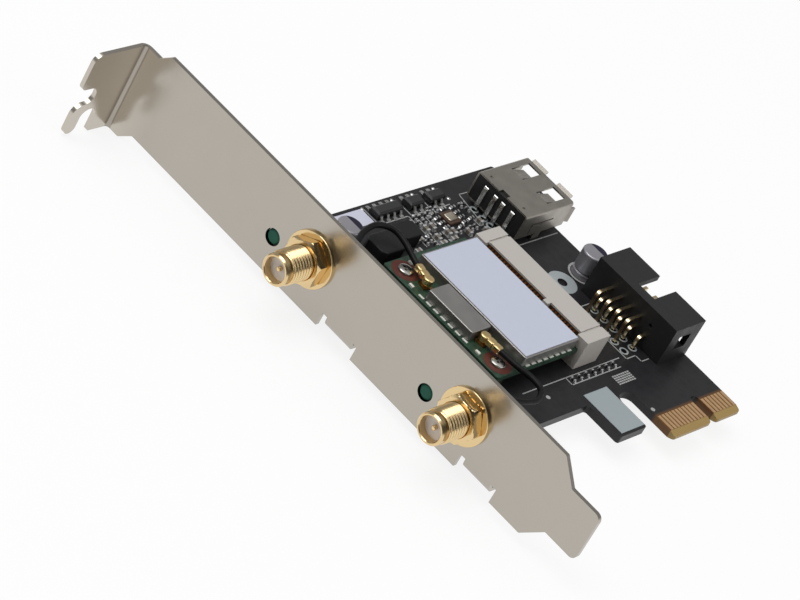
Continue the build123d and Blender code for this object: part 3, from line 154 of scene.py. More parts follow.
class CardColours(bpy.types.PropertyGroup):
    """Colours of the card's finishes."""
    bracket: colour_property("Bracket", "Nickel plate on the bracket", (180, 174, 164))
    # Painted light: the bracket's nickel made paler towards the screw tab
    tab: colour_property("Screw Tab", "Nickel plate towards the screw tab", (197, 190, 179))
    # Painted shade where the tab is bent, against the light its curve catches
    bend: colour_property("Tab Bend", "Nickel plate at the tab's bend", (168, 161, 151))
    # Painted reflection of the green lenses on the walls of the light holes
    hole_wall_lens_reflection: colour_property("Light Holes", "Walls of the bracket's light holes", (66, 98, 83))
    lug_screw: colour_property("Bracket Screws", "Steel of the bracket's screws", (165, 163, 158))
    mask: colour_property("Board", "Solder mask of the main board", (29, 29, 31))
    pour: colour_property("Copper Pour", "Solder mask over the main board's copper", (36, 36, 38))
    bare: colour_property("Bare Laminate", "Board between the contacts", (104, 70, 36))
    bevel: colour_property("Bevel", "Bevelled end of the card edge", (156, 130, 80))
    pad: colour_property("Tinned Pads", "Bare pads of the main board", (172, 180, 182))
    module: colour_property("Module Board", "Solder mask of the radio module", (21, 43, 33))
    module_pour: colour_property("Module Copper", "Solder mask over the module's copper", (39, 68, 51))
    module_screw: colour_property("Module Screws", "Steel of the module's screws", (168, 166, 161))
    land: colour_property("Screw Lands", "Copper round the module's screws", (98, 52, 44))
    module_tin: colour_property("Module Pads", "Tin on the radio module", (218, 220, 212))
    gold: colour_property("Gold Plate", "Jacks, nuts and washers", (226, 199, 150))
    insulator: colour_property("Jack Insulator", "White plastic in the jacks", (240, 234, 230))
    plug: colour_property("Plugs", "Gold of the pigtail plugs", (236, 208, 150))
    receptacle: colour_property("Receptacles", "Gold under the pigtail plugs", (160, 124, 76))
    contact: colour_property("Contacts", "Gold of the edge contacts", (228, 188, 140))
    label: colour_property("Shield Label", "Paper on the radio shield", (190, 195, 211))
    stub_label: colour_property("Stub Label", "Paper on the board's stub", (152, 161, 164))
    corner_label: colour_property("Corner Label", "Paper by the bracket", (199, 200, 216))
    shield: colour_property("Shield", "Tinned steel of the module's shields", (158, 156, 153))
    socket: colour_property("Socket", "Plastic of the card socket", (182, 177, 171))
    # Painted shade in the socket's slots, brown like the springs in them
    recess: colour_property("Socket Recess", "Back wall of the socket's slots", (74, 50, 34))
    bronze: colour_property("Springs", "Contacts of the card socket", (150, 105, 60))
    port: colour_property("Port Shell", "Steel of the upright port", (162, 157, 149))
    port_pin: colour_property("Port Pins", "Tin on the port's pins", (222, 222, 220))
    header_pin: colour_property("Header Pins", "Gold of the header's pins", (230, 210, 170))
    black: colour_property("Black Plastic", "Header and port insulator", (34, 34, 35))
    tin: colour_property("Tin", "Solder and leads", (205, 205, 203))
    jacket: colour_property("Pigtail", "Jacket of the pigtails", (13, 13, 14))
    lens: colour_property("Light Lens", "Lens of the status lights", (40, 92, 76))
    ferrite: colour_property("Choke", "Ferrite of the chokes", (25, 25, 26))
    resin: colour_property("Chip Resin", "Bodies of the power chips", (36, 36, 37))
    ceramic: colour_property("Crystal Tray", "Ceramic of the clock crystal", (70, 52, 40))
    lid: colour_property("Crystal Lid", "Metal lid of the clock crystal", (205, 196, 178))
    can: colour_property("Capacitor", "Sleeve of the can capacitors", (160, 158, 164))
    band: colour_property("Capacitor Band", "Dark band on the can capacitors", (44, 40, 62))
    resistor: colour_property("Chip Resistors", "Bodies of the chip resistors", (34, 34, 36))
    chip_ceramic: colour_property("Chip Capacitors", "Bodies of the chip capacitors", (112, 104, 94))
    chip_end: colour_property("Chip Ends", "Tinned ends of the chip parts", (208, 209, 208))
    ink: colour_property("Printed Marks", "Ink on the main board", (158, 160, 158))


class CardStage(bpy.types.PropertyGroup):
    """Light, floor and camera."""
    key_power: bpy.props.FloatProperty(name="Key Power", description="Power of the large soft lamp",
                                       default=4.5, min=0.0, unit="POWER")
    side_power: bpy.props.FloatProperty(name="Side Power", default=1.6, min=0.0, unit="POWER",
                                        description="Power of the soft lamp at the contact end")
    fill: bpy.props.FloatProperty(name="Fill", description="Strength of the light from all round",
                                  default=1.0, min=0.0, subtype="FACTOR")
    walls: bpy.props.FloatProperty(name="Walls", description="Brightness part way up the studio's walls",
                                   default=0.32, min=0.0, max=1.0, subtype="FACTOR")
    dark_side: bpy.props.FloatProperty(name="Dark Side", default=0.18, min=0.0, max=1.0, subtype="FACTOR",
                                       description="Share of the walls' light behind the camera")
    lens: bpy.props.FloatProperty(name="Lens", description="Focal length", default=174.75, min=1.0,
                                  unit="CAMERA")
    floor: colour_property("Floor", "Pale floor under the card", (240, 240, 240))


def grid_quads(count, around, closed):
    """Four-cornered faces of a grid of count rows with around points each, joined round each row when
    closed."""
    columns = around if closed else around - 1
    row, column = np.meshgrid(np.arange(count - 1), np.arange(columns), indexing="ij")
    step = (column + 1) % around
    return np.stack([row * around + column, row * around + step, (row + 1) * around + step,
                     (row + 1) * around + column], -1).reshape(-1, 4)


def lathe(stations, radii, around):
    """A round shape along Z: radius at each station, turned through a full circle. Radii may be one number a
    station, or a row of numbers that also changes with the angle. A radius of nought closes an end."""
    angle = np.linspace(0, 2 * math.pi, around, endpoint=False)
    reach = np.broadcast_to(np.asarray(radii, float).reshape(len(stations), -1), (len(stations), around))
    points = np.stack([reach * np.cos(angle), reach * np.sin(angle),
                       np.broadcast_to(np.asarray(stations, float)[:, None], reach.shape)], -1)
    return points.reshape(-1, 3), grid_quads(len(stations), around, True)


def block(size):
    """A box standing on its base: the eight corners are the signs times half the length and width, and
    nought or the height."""
    corner = np.array([(-1, -1, 0), (1, -1, 0), (1, 1, 0), (-1, 1, 0),
                       (-1, -1, 1), (1, -1, 1), (1, 1, 1), (-1, 1, 1)])
    faces = np.array([(0, 3, 2, 1), (4, 5, 6, 7), (0, 1, 5, 4), (1, 2, 6, 5), (2, 3, 7, 6), (3, 0, 4, 7)])
    return corner * np.array((size[0] / 2, size[1] / 2, size[2])), faces


def prism(outline, width):
    """An outline in Y and Z carried along X, half the width to each side. Each end is closed by four-cornered
    faces that share the outline's first point, so the outline has an even number of points."""
    flat = np.asarray(outline, float)
    count = len(flat)
    points = np.concatenate([np.column_stack([np.full(count, side * width / 2), flat]) for side in (-1, 1)])
    step = np.roll(np.arange(count), -1)
    walls = np.stack([np.arange(count), step, step + count, np.arange(count) + count], 1)
    fan = np.stack([np.zeros(count // 2 - 1, int), np.arange(1, count - 2, 2), np.arange(2, count - 1, 2),
                    np.arange(3, count, 2)], 1)
    return points, np.concatenate([walls, fan[:, ::-1], fan + count])


def rod(radius, low, high, around):
    """A closed cylinder along Z: the radius between low and high, and nought at both ends."""
    return lathe((low, low, high, high), (0, radius, radius, 0), around)


def washer(inner, outer, low, high, around):
    """A flat ring: four corners of its section, turned through a circle and joined back to the first."""
    return lathe((low, low, high, high, low), (inner, outer, outer, inner, inner), around)


def fillet_cone(inner, outer, rise):
    """A solder joint: the radius falls from outer to inner as the square of the height left, with closed
    ends."""
    steps, around = 6, 16
    share = np.linspace(0, 1, steps)
    radii = inner + (outer - inner) * (1 - share) ** 2
    return lathe(np.concatenate([[0], rise * share, [rise]]), np.concatenate([[0], radii, [0]]), around)


def spots(places, height):
    """Points at the given x, y places, all at one height."""
    flat = np.asarray(places, float)
    return np.column_stack([flat, np.full(len(flat), height)])


def copies(shape, places):
    """The same shape at many places: each place is added to every point."""
    points, faces = shape
    shift = np.asarray(places, float).reshape(-1, 1, 3)
    count = len(shift)
    return ((points[None] + shift).reshape(-1, 3),
            (faces[None] + (np.arange(count) * len(points))[:, None, None]).reshape(-1, faces.shape[1]))


def joined(*shapes):
    """Several shapes as one, with the later ones' faces counted on from the earlier ones' points."""
    starts = np.cumsum([0] + [len(points) for points, faces in shapes])
    return (np.concatenate([points for points, faces in shapes]),
            np.concatenate([faces + start for (points, faces), start in zip(shapes, starts)]))


def along_x(shape, y, z):
    """Lay a shape that stands along Z down along X, on the line through y and z."""
    points, faces = shape
    return np.stack([points[:, 2], points[:, 0] + y, points[:, 1] + z], 1), faces


def upside_down(shape, height):
    """Turn a shape over about X and hang it from the given height."""
    points, faces = shape
    return points * (1, -1, -1) + (0, 0, height), faces


def turned(shape, degrees):
    """Turn a shape about Z."""
    points, faces = shape
    turn = math.radians(degrees)
    spin = np.array(((math.cos(turn), math.sin(turn), 0), (-math.sin(turn), math.cos(turn), 0), (0, 0, 1)))
    return points @ spin, faces


def stroke(x0, y0, x1, y1, width, rise):
    """A printed line between two points: a flat box as long as their distance, turned to their direction."""
    points, faces = turned(block((math.hypot(x1 - x0, y1 - y0) + width, width, rise)),
                           math.degrees(math.atan2(y1 - y0, x1 - x0)))
    return points + ((x0 + x1) / 2, (y0 + y1) / 2, 0), faces


def hex_radius(angle, half, facet):
    """Distance from the middle of a hexagon to its side in each direction: half the width over the cosine of
    the angle from the nearest facet's middle."""
    sixth = math.pi / 3
    off = (angle - math.radians(facet) + sixth / 2) % sixth - sixth / 2
    return half / np.cos(off)


def cross_head(radius, height, rim, recess):
    """A screw head with a cross in its top. A square grid is carried onto a disc: x is u times the root of
    one less half v squared, y is v times the root of one less half u squared. The top rises from the rim as
    a low dome, and the cells within the arms of the cross sink by the recess. A flat copy of the grid closes
    the base."""
    half = np.concatenate([[0, 0.12, 0.15], np.linspace(0.26, 0.5, 4), [0.56], np.linspace(0.68, 1, 6)])
    line = np.concatenate([-half[:0:-1], half])
    u, v = np.meshgrid(line, line, indexing="ij")
    x, y = u * np.sqrt(1 - v * v / 2), v * np.sqrt(1 - u * u / 2)
    dome = rim + (height - rim) * np.sqrt(np.clip(1 - (x * x + y * y) ** 1.4, 0, 1))
    across = np.minimum(np.abs(u), np.abs(v)) < 0.13
    along = np.maximum(np.abs(u), np.abs(v)) < 0.53
    top = np.stack([x * radius, y * radius, dome - recess * (across & along)], -1).reshape(-1, 3)
    base = top * (1, 1, 0)
    count = len(line)
    quads = grid_quads(count, count, False)
    index = np.arange(count * count).reshape(count, count)
    loop = np.concatenate([index[0, :-1], index[:-1, -1], index[-1, :0:-1], index[:0:-1, 0]])
    step = np.roll(loop, -1)
    walls = np.stack([loop, step, step + count * count, loop + count * count], 1)
    return np.concatenate([top, base]), np.concatenate([quads, quads[:, ::-1] + count * count, walls])


def add_piece(name, shape, finish, sharp=35.0, replaced=()):
    """Put a shape, in millimetres, into a mesh with its seams and poles closed and its faces outwards."""
    points, faces = shape
    mesh = bpy.data.meshes.new(name)
    mesh.from_pydata(points * MM, [], faces)
    surface = bmesh.new()
    surface.from_mesh(mesh)
    bmesh.ops.remove_doubles(surface, verts=surface.verts, dist=1e-7)
    bmesh.ops.recalc_face_normals(surface, faces=surface.faces)
    surface.to_mesh(mesh)
    surface.free()
    mesh.polygons.foreach_set("use_smooth", np.ones(len(mesh.polygons), bool))
    mesh.set_sharp_from_angle(angle=math.radians(sharp))
    mesh.materials.append(finish)
    piece = bpy.data.objects.new(name, mesh)
    bpy.context.scene.collection.objects.link(piece)
    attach(piece, "root")
    if replaced:
        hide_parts(*replaced)


def dress(finish, *names):
    """Give CAD nodes one finish."""
    for name in names:
        NODES[name].data.materials.clear()
        NODES[name].data.materials.append(finish)


class Finish:
    """A procedural material on the Object coordinates of the piece."""

    def __init__(self, name, colour, metallic=0.0, roughness=0.5, specular=0.5):
        self.material = bpy.data.materials.new(name)
        self.material.use_nodes = True
        self.tree = self.material.node_tree
        self.shader = self.tree.nodes["Principled BSDF"]
        self.shader.inputs["Base Color"].default_value = (*colour, 1.0)
        self.shader.inputs["Metallic"].default_value = metallic
        self.shader.inputs["Roughness"].default_value = roughness
        self.shader.inputs["Specular IOR Level"].default_value = specular
        self.place = self.tree.nodes.new("ShaderNodeTexCoord").outputs["Object"]

    def add(self, kind, **settings):
        """A new node of the given kind with its settings."""
        node = self.tree.nodes.new(kind)
        for key, value in settings.items():
            setattr(node, key, value)
        return node

    def join(self, output, socket):
        """Link an output to a socket."""
        self.tree.links.new(output, socket)

    def noise(self, grain, stretch=(1.0, 1.0, 1.0), detail=3.0):
        """Noise whose blots are about one grain across, in millimetres, drawn out along an axis by its
        stretch."""
        mapping = self.add("ShaderNodeMapping")
        mapping.inputs["Scale"].default_value = [1 / s for s in stretch]
        self.join(self.place, mapping.inputs["Vector"])
        texture = self.add("ShaderNodeTexNoise")
        texture.inputs["Scale"].default_value = 1 / (grain * MM)
        texture.inputs["Detail"].default_value = detail
        self.join(mapping.outputs["Vector"], texture.inputs["Vector"])
        return texture.outputs["Fac"]

    def cells(self, grain):
        """Distance to the nearest of points scattered about one grain apart, in millimetres, counted along
        the axes, which gives cells with square corners."""
        texture = self.add("ShaderNodeTexVoronoi", distance="MANHATTAN", feature="F1")
        texture.inputs["Scale"].default_value = 1 / (grain * MM)
        self.join(self.place, texture.inputs["Vector"])
        return texture.outputs["Distance"]

    def bump(self, height, depth):
        """Lift the surface by a height pattern, depth in millimetres."""
        node = self.add("ShaderNodeBump")
        node.inputs["Strength"].default_value = 1.0
        node.inputs["Distance"].default_value = depth * MM
        self.join(height, node.inputs["Height"])
        self.join(node.outputs["Normal"], self.shader.inputs["Normal"])

    def gloss(self, pattern, low, high):
        """Let a pattern carry the roughness from low to high."""
        node = self.add("ShaderNodeMapRange")
        node.inputs["From Min"].default_value = 0.3
        node.inputs["From Max"].default_value = 0.7
        node.inputs["To Min"].default_value = low
        node.inputs["To Max"].default_value = high
        self.join(pattern, node.inputs["Value"])
        self.join(node.outputs["Result"], self.shader.inputs["Roughness"])

    def blend(self, pattern, first, second):
        """A colour that goes from the first to the second with a pattern. Either may be a colour or an
        output."""
        node = self.add("ShaderNodeMix", data_type="RGBA")
        for key, value in (("A", first), ("B", second)):
            socket = [s for s in node.inputs if s.name == key and s.type == "RGBA"][0]
            if isinstance(value, bpy.types.NodeSocket):
                self.join(value, socket)
            else:
                socket.default_value = (*value, 1.0)
        self.join(pattern, node.inputs["Factor"])
        return [s for s in node.outputs if s.type == "RGBA"][0]

    def paint(self, colour):
        """Let a pattern give the base colour."""
        self.join(colour, self.shader.inputs["Base Color"])

    def span(self, axis, low, high, soft=0.01):
        """One inside the stretch from low to high millimetres along an axis, nought outside, with soft
        edges."""
        split = self.add("ShaderNodeSeparateXYZ")
        self.join(self.place, split.inputs["Vector"])
        sides = []
        for edge, sign in ((low, 1), (high, -1)):
            node = self.add("ShaderNodeMapRange")
            node.inputs["From Min"].default_value = (edge - sign * soft) * MM
            node.inputs["From Max"].default_value = (edge + sign * soft) * MM
            self.join(split.outputs[axis], node.inputs["Value"])
            sides.append(node.outputs["Result"])
        return self.both(*sides)

    def both(self, first, second):
        """The product of two patterns."""
        node = self.add("ShaderNodeMath", operation="MULTIPLY")
        self.join(first, node.inputs[0])
        self.join(second, node.inputs[1])
        return node.outputs["Value"]


def seen_rays(tree):
    """One for rays that the camera, a gloss or clear glass sends out, nought for the rest."""
    path = tree.nodes.new("ShaderNodeLightPath")
    output = path.outputs["Is Camera Ray"]
    for name in ("Is Glossy Ray", "Is Transmission Ray"):
        node = tree.nodes.new("ShaderNodeMath")
        node.operation = "MAXIMUM"
        tree.links.new(output, node.inputs[0])
        tree.links.new(path.outputs[name], node.inputs[1])
        output = node.outputs["Value"]
    return output


def plain(name, colour, metallic=0.0, roughness=0.5, grain=0.4, depth=0.0, spread=0.06, specular=0.5):
    """An even finish whose gloss varies a little, with a fine raised grain when depth is above nought."""
    finish = Finish(name, colour, metallic, roughness, specular)
    finish.gloss(finish.noise(grain * 8), max(roughness - spread, 0.02), min(roughness + spread, 1.0))
    if depth:
        finish.bump(finish.noise(grain), depth)
    return finish.material


def gold_plate(name, colour, roughness):
    """Bright gold plate with faint wear that makes it duller in blots."""
    finish = Finish(name, colour, metallic=1.0, roughness=roughness)
    finish.gloss(finish.noise(2.5), roughness * 0.75, roughness * 1.35)
    return finish.material


class CARD_OT_bracket(bpy.types.Operator):
    """Nickel-plated bracket and the screws that hold the board to it."""
    bl_idname = "card.bracket"
    bl_label = "Bracket"

    def execute(self, context):
        colours = context.scene.card_colours
        finish = Finish("bracket_nickel", colours.bracket, metallic=1.0, roughness=0.22)
        finish.gloss(finish.noise(5.0), 0.19, 0.25)
        finish.bump(finish.noise(0.5, stretch=(1.0, 6.0, 1.0)), 0.0012)
        # Painted light and shade: paler towards the screw tab, with painted shade where the tab is bent
        colour = finish.blend(finish.span("Y", 99.5, 110.0, 3.5), colours.bracket, colours.tab)
        bend = finish.both(finish.span("X", -60.3, -59.4, 0.06), finish.span("Y", 103.3, 104.4, 0.06))
        colour = finish.blend(bend, colour, colours.bend)
        # The walls of the light holes carry a painted reflection of the green lenses: within the sheet, and
        # near a light
        sheet = finish.span("X", BRACKET_OUTER_X + 0.03, BRACKET_INNER_X + 0.05)
        wall = finish.both(sheet, finish.span("Z", LIGHT_Z - LIGHT_HOLE_REACH, LIGHT_Z + LIGHT_HOLE_REACH))
        for y in LIGHT_YS:
            hole = finish.both(wall, finish.span("Y", y - LIGHT_HOLE_REACH, y + LIGHT_HOLE_REACH))
            colour = finish.blend(hole, colour, colours.hole_wall_lens_reflection)
        finish.paint(colour)
        dress(finish.material, "bracket")
        steel = plain("lug_screw_steel", colours.lug_screw, metallic=1.0, roughness=0.32)
        head = joined(cross_head(2.75, 1.7, 0.45, 0.9), rod(1.45, -3.33, 0, 32))
        add_piece("lug_screws", copies(head, spots(LUG_SCREWS, 0.0)), steel,
                  replaced=("bracket_screws",))
        return {"FINISHED"}


class CARD_OT_boards(bpy.types.Operator):
    """Main board, edge contacts and blank paper labels."""
    bl_idname = "card.boards"
    bl_label = "Boards and Labels"

    def execute(self, context):
        colours = context.scene.card_colours
        board = Finish("black_mask", colours.mask, roughness=0.36, specular=0.3)
        cells = board.cells(2.2)
        pour = board.blend(cells, colours.mask, colours.pour)
        # Bare laminate between the contacts on the tongue, and its bevelled end
        tongue = board.span("X", -12.2, 8.1)
        between = board.blend(board.both(board.span("Y", -1.0, 5.3, 0.35), tongue), pour, colours.bare)
        board.paint(board.blend(board.both(board.span("Y", -1.0, 1.32), tongue), between, colours.bevel))
        board.bump(cells, 0.02)
        dress(board.material, "main_board")
        contact = Finish("contact_gold", colours.contact, metallic=0.85, roughness=0.36)
        contact.gloss(contact.noise(1.5), 0.3, 0.42)
        dress(contact.material, "edge_contacts")
        for node, name, colour in (("stub_label", "stub_paper", colours.stub_label),
                                   ("corner_label", "corner_paper", colours.corner_label),
                                   ("shield_label", "shield_paper", colours.label)):
            paper = Finish(name, colour, roughness=0.55, specular=0.35)
            paper.paint(paper.blend(paper.noise(1.2, detail=4.0), [c * 0.96 for c in colour], colour))
            paper.bump(paper.noise(0.25), 0.004)
            dress(paper.material, node)
        return {"FINISHED"}


class CARD_OT_marks(bpy.types.Operator):
    """Printed lines, tinned pads and solder on the main board."""
    bl_idname = "card.marks"
    bl_label = "Marks, Pads and Solder"

    def execute(self, context):
        sizes, colours = context.scene.card_sizes, context.scene.card_colours
        rise, width = sizes.mark_rise / MM, sizes.mark_width / MM
        ink = plain("mark_ink", colours.ink, roughness=0.6)
        # Start and end of each line: beside the socket, round the header and round the port
        lines = [(-35.5, 18.95, -7.5, 18.95), (-23.3, 17.1, -9.1, 17.1), (-23.3, 17.1, -23.3, 18.9),
                 (-6.0, 18.2, -3.3, 18.2), (-6.0, 18.2, -6.0, 31.8), (-6.0, 31.8, -1.2, 31.8),
                 (-3.3, 18.2, -3.3, 16.6), (-3.3, 16.6, -1.2, 16.6), (-6.9, 48.6, 7.2, 48.6),
                 (-7.4, 56.5, -6.2, 63.4), (-6.2, 63.4, -3.0, 63.3), (-3.0, 63.3, 3.2, 66.7)]
        for x, y, length, count in CHIPS:
            near, far = x - length / 2 - 0.5, x + length / 2 + 0.5
            low, high = y - 2.3, y + 1.8
            lines += [(near, low, far, low), (near, low, near, high)]
        marked = RESISTORS["y"][:12:2] + CAPACITORS["y"][::2]
        lines += [(x - 0.62, y - 0.8, x - 0.62, y + 0.8) for x, y in marked]
        boxes = [stroke(*line, width, rise) for line in lines]
        dots = copies(rod(0.45, 0, rise, 20), spots([(-11.4, 6.6), (-31.0, 16.5)], 0))
        bars = [(-12.9 + 0.62 * i, 13.8 + 0.48 * j) for i in range(8) for j in range(5)]
        patch = copies(block((0.5, 0.32, rise)), spots(bars, 0))
        rings = copies(washer(2.65, 3.1, 0, rise, 48), spots(list(CAN_PLACES.values()), 0))
        add_piece("printed_marks", joined(*boxes, dots, patch, rings), ink)
        pad_tin = plain("tinned_pad", colours.pad, metallic=0.35, roughness=0.42)
        leads = [p for p in HEADER_LEGS if p != HEADER_SPARE] + PORT_PINS + CAN_LEADS + LIGHT_LEADS
        ringed = HEADER_LEGS + PORT_PINS + LIGHT_LEADS
        pads = joined(copies(washer(1.02, 3.0, 0, 0.03, 48), spots([SPARE_HOLE], 0)),
                      copies(washer(0.6, 0.95, 0, 0.025, 24), spots(ringed, 0)))
        add_piece("tinned_pads", pads, pad_tin)
        tin = plain("solder_tin", colours.tin, metallic=1.0, roughness=0.28, spread=0.1)
        reach, height = sizes.solder_reach / MM, sizes.solder_rise / MM
        below = copies(upside_down(fillet_cone(0.3, reach, height), BOARD_UNDER_Z), spots(leads, 0))
        legs = copies(upside_down(fillet_cone(0.5, 1.5, 0.6), BOARD_UNDER_Z), spots(PORT_LEGS, 0))
        feet = [(x + CHIP_LEAD_PITCH * (i - (count - 1) / 2), y + side * 1.95)
                for x, y, length, count in CHIPS for i in range(count) for side in (-1, 1)]
        tails = [(-12.65, y) for y in SPRING_YS] + [(-20.75, y) for y in SPRING_YS]
        toes = joined(copies(block((0.8, 1.1, 0.05)), spots(feet, 0)),
                      copies(block((1.3, 0.46, 0.04)), spots(tails, 0)))
        ends = [(x + side * (length / 2 - 0.55), y, 0) for x, y, length, broad in CHOKES for side in (-1, 1)]
        choke_ends = copies(block((1.5, 2.6, 0.3)), ends)
        drops = [(-30.6, 66.5), (-22.3, 66.5), (-20.9, 61.9), (-16.6, 66.4), (-15.9, 64.6), (-10.6, 66.3),
                 (-9.4, 63.2)]
        beads = copies(fillet_cone(0.12, 0.42, 0.22), spots(drops, 0))
        add_piece("solder_joints", joined(below, legs, toes, choke_ends, beads), tin)
        return {"FINISHED"}


class CARD_OT_jacks(bpy.types.Operator):
    """Antenna jacks with their threads, insulators, pins and crimp sleeves."""
    bl_idname = "card.jacks"
    bl_label = "Antenna Jacks"

    def execute(self, context):
        sizes, colours = context.scene.card_sizes, context.scene.card_colours
        gold = gold_plate("jack_gold", colours.gold, roughness=0.2)
        for place, (y, z) in JACKS.items():
            add_piece(f"threaded_jack_{place}", along_x(self.body(sizes, JACK_FACETS[place]), y, z), gold,
                      replaced=(f"jack_body_{place}",))
            dress(gold, f"jack_pin_{place}", f"crimp_sleeve_{place}")
        dress(plain("jack_insulator_white", colours.insulator, roughness=0.4), "jack_insulator_upper",
              "jack_insulator_lower")
        return {"FINISHED"}

    def body(self, sizes, facet):
        """Jack along its axis: a barrel, a hexagon flange, a plain stretch under the nut, a thread, a relief
        groove and a collar with a bore. On the thread the radius falls by the depth as a cosine wave of the
        distance over the pitch less the turn, and eases out at the relief groove."""
        around, rows, easing = 72, 113, 0.5
        angle = np.linspace(0, 2 * math.pi, around, endpoint=False)
        pitch, depth = sizes.thread_pitch / MM, sizes.thread_depth / MM
        x = np.linspace(NUT_OUTER_X, THREAD_END_X, rows)[:, None]
        wave = 0.5 + 0.5 * np.cos((x - THREAD_END_X) * 2 * math.pi / pitch - angle)
        ease = np.clip((x - THREAD_END_X) / easing, 0, 1)
        runout = (1 - ease) * (THREAD_RADIUS - RELIEF_RADIUS - 0.1) * wave
        thread = THREAD_RADIUS - depth * (1 - wave) - runout
        flat = np.ones(around)
        flange = hex_radius(angle, HEX_HALF, facet)
        chamfered = np.minimum(flange, HEX_HALF * 1.02)
        start = [(BARREL_REAR_X, 0 * flat), (BARREL_REAR_X, BARREL_RADIUS * flat - 0.15),
                 (BARREL_REAR_X - 0.15, BARREL_RADIUS * flat), (FLANGE_REAR_X, BARREL_RADIUS * flat),
                 (FLANGE_REAR_X, chamfered), (FLANGE_REAR_X - 0.35, flange), (BRACKET_INNER_X, flange),
                 (BRACKET_INNER_X, ENGAGED_RADIUS * flat), (NUT_OUTER_X, ENGAGED_RADIUS * flat)]
        end = [(THREAD_END_X, RELIEF_RADIUS * flat), (RELIEF_END_X + 0.1, RELIEF_RADIUS * flat),
               (RELIEF_END_X, COLLAR_RADIUS * flat - 0.08), (RELIEF_END_X - 0.08, COLLAR_RADIUS * flat),
               (JACK_TIP_X + 0.3, COLLAR_RADIUS * flat), (JACK_TIP_X, COLLAR_RADIUS * flat - 0.25),
               (JACK_TIP_X, BORE_RADIUS * flat + 0.12), (JACK_TIP_X + 0.15, BORE_RADIUS * flat),
               (BORE_END_X, BORE_RADIUS * flat), (BORE_END_X, 0 * flat)]
        stations = np.concatenate([[s for s, r in start], x[:, 0], [s for s, r in end]])
        radii = np.concatenate([np.array([r for s, r in start]), thread, np.array([r for s, r in end])])
        return lathe(stations, radii, around)


class CARD_OT_jack_hardware(bpy.types.Operator):
    """Washers and chamfered nuts on the antenna jacks."""
    bl_idname = "card.jack_hardware"
    bl_label = "Nuts and Washers"

    def execute(self, context):
        sizes, colours = context.scene.card_sizes, context.scene.card_colours
        gold = gold_plate("nut_gold", colours.gold, roughness=0.14)
        dress(gold, "jack_washers")
        chamfer = sizes.nut_chamfer / MM
        nuts = [along_x(self.nut(chamfer, JACK_FACETS[place]), y, z) for place, (y, z) in JACKS.items()]
        add_piece("hexagon_nuts", joined(*nuts), gold, sharp=25.0, replaced=("jack_nuts",))
        return {"FINISHED"}

    def nut(self, chamfer, facet):
        """A hexagon whose radius is the lesser of the hexagon's own and of a cone that opens from each face,
        with a round hole through it."""
        around, countersink = 96, 0.25
        angle = np.linspace(0, 2 * math.pi, around, endpoint=False)
        corner = hex_radius(angle, HEX_HALF, facet)
        depth = np.linspace(0, chamfer, 5)
        cone = HEX_HALF * 0.985 + depth[:, None] * (HEX_HALF * 0.17 / chamfer)
        face = np.minimum(corner, cone)
        hole = np.full((1, around), ENGAGED_RADIUS + 0.03)
        lead = hole + countersink
        stations = np.concatenate([[NUT_INNER_X], NUT_INNER_X - depth, (NUT_OUTER_X + depth)[::-1],
                                   [NUT_OUTER_X, NUT_OUTER_X + countersink, NUT_INNER_X]])
        radii = np.concatenate([hole, face, face[::-1], lead, hole, hole])
        return lathe(stations, radii, around)


class CARD_OT_pigtails(bpy.types.Operator):
    """Pigtails, their stamped plugs and the receptacles under them."""
    bl_idname = "card.pigtails"
    bl_label = "Pigtails"

    def execute(self, context):
        sizes, colours = context.scene.card_sizes, context.scene.card_colours
        dress(plain("pigtail_jacket", colours.jacket, roughness=0.48, specular=0.2), "coax_upper",
              "coax_lower")
        gold = gold_plate("plug_gold", colours.plug, roughness=0.28)
        dress(gold_plate("receptacle_gold", colours.receptacle, roughness=0.32), "receptacle_upper",
              "receptacle_lower")
        for place, (x, y, turn) in PLUGS.items():
            points, faces = turned(self.plug(sizes.plug_edge / MM), turn)
            add_piece(f"stamped_plug_{place}", (points + (x, y, MODULE_TOP_Z), faces), gold,
                      replaced=(f"coax_plug_{place}",))
        return {"FINISHED"}

    def plug(self, edge):
        """A round cap that runs into two folded crimps: a rounded box section is carried along the cable, and
        its half width and floor change with the distance. At the cap the half width is the circle's own."""
        cap, around, arc = 1.05, 24, 16
        # Distances along the cable and the half width at each: the cap, a neck, the wide crimp, a gap and the
        # narrow crimp
        reach = np.concatenate([-cap * np.cos(np.linspace(0.02, 2.1, arc)),
                                [0.6, 0.72, 0.9, 0.98, 2.0, 2.08, 2.3, 2.38, 3.6, 3.72, 3.8]])
        half = np.concatenate([np.sqrt(cap ** 2 - reach[:arc] ** 2),
                               [0.8, 0.62, 0.62, 0.86, 0.86, 0.62, 0.62, 0.8, 0.8, 0.74, 0.64]])
        floor = np.interp(reach, (0.5, 0.9, 3.8), (0.66, 0.74, 0.76))
        top = np.interp(reach, (-cap, -0.8, 0.7, 1.0, 3.6, 3.8), (1.9, 2.04, 2.04, 1.96, 1.96, 1.85))
        turn = np.linspace(0, 2 * math.pi, around, endpoint=False) + math.pi / around
        sharp = edge / 0.6
        side = np.sign(np.cos(turn)) * np.abs(np.cos(turn)) ** sharp
        lift = np.sign(np.sin(turn)) * np.abs(np.sin(turn)) ** sharp
        middle, tall = (top + floor) / 2, (top - floor) / 2
        ring = np.stack([np.broadcast_to(reach[:, None], (len(reach), around)), half[:, None] * side,
                         middle[:, None] + tall[:, None] * lift], -1)
        first, last = [np.broadcast_to(ring[i].mean(0), (1, around, 3)) for i in (0, -1)]
        points = np.concatenate([first, ring, last]).reshape(-1, 3)
        return points, grid_quads(len(reach) + 2, around, True)


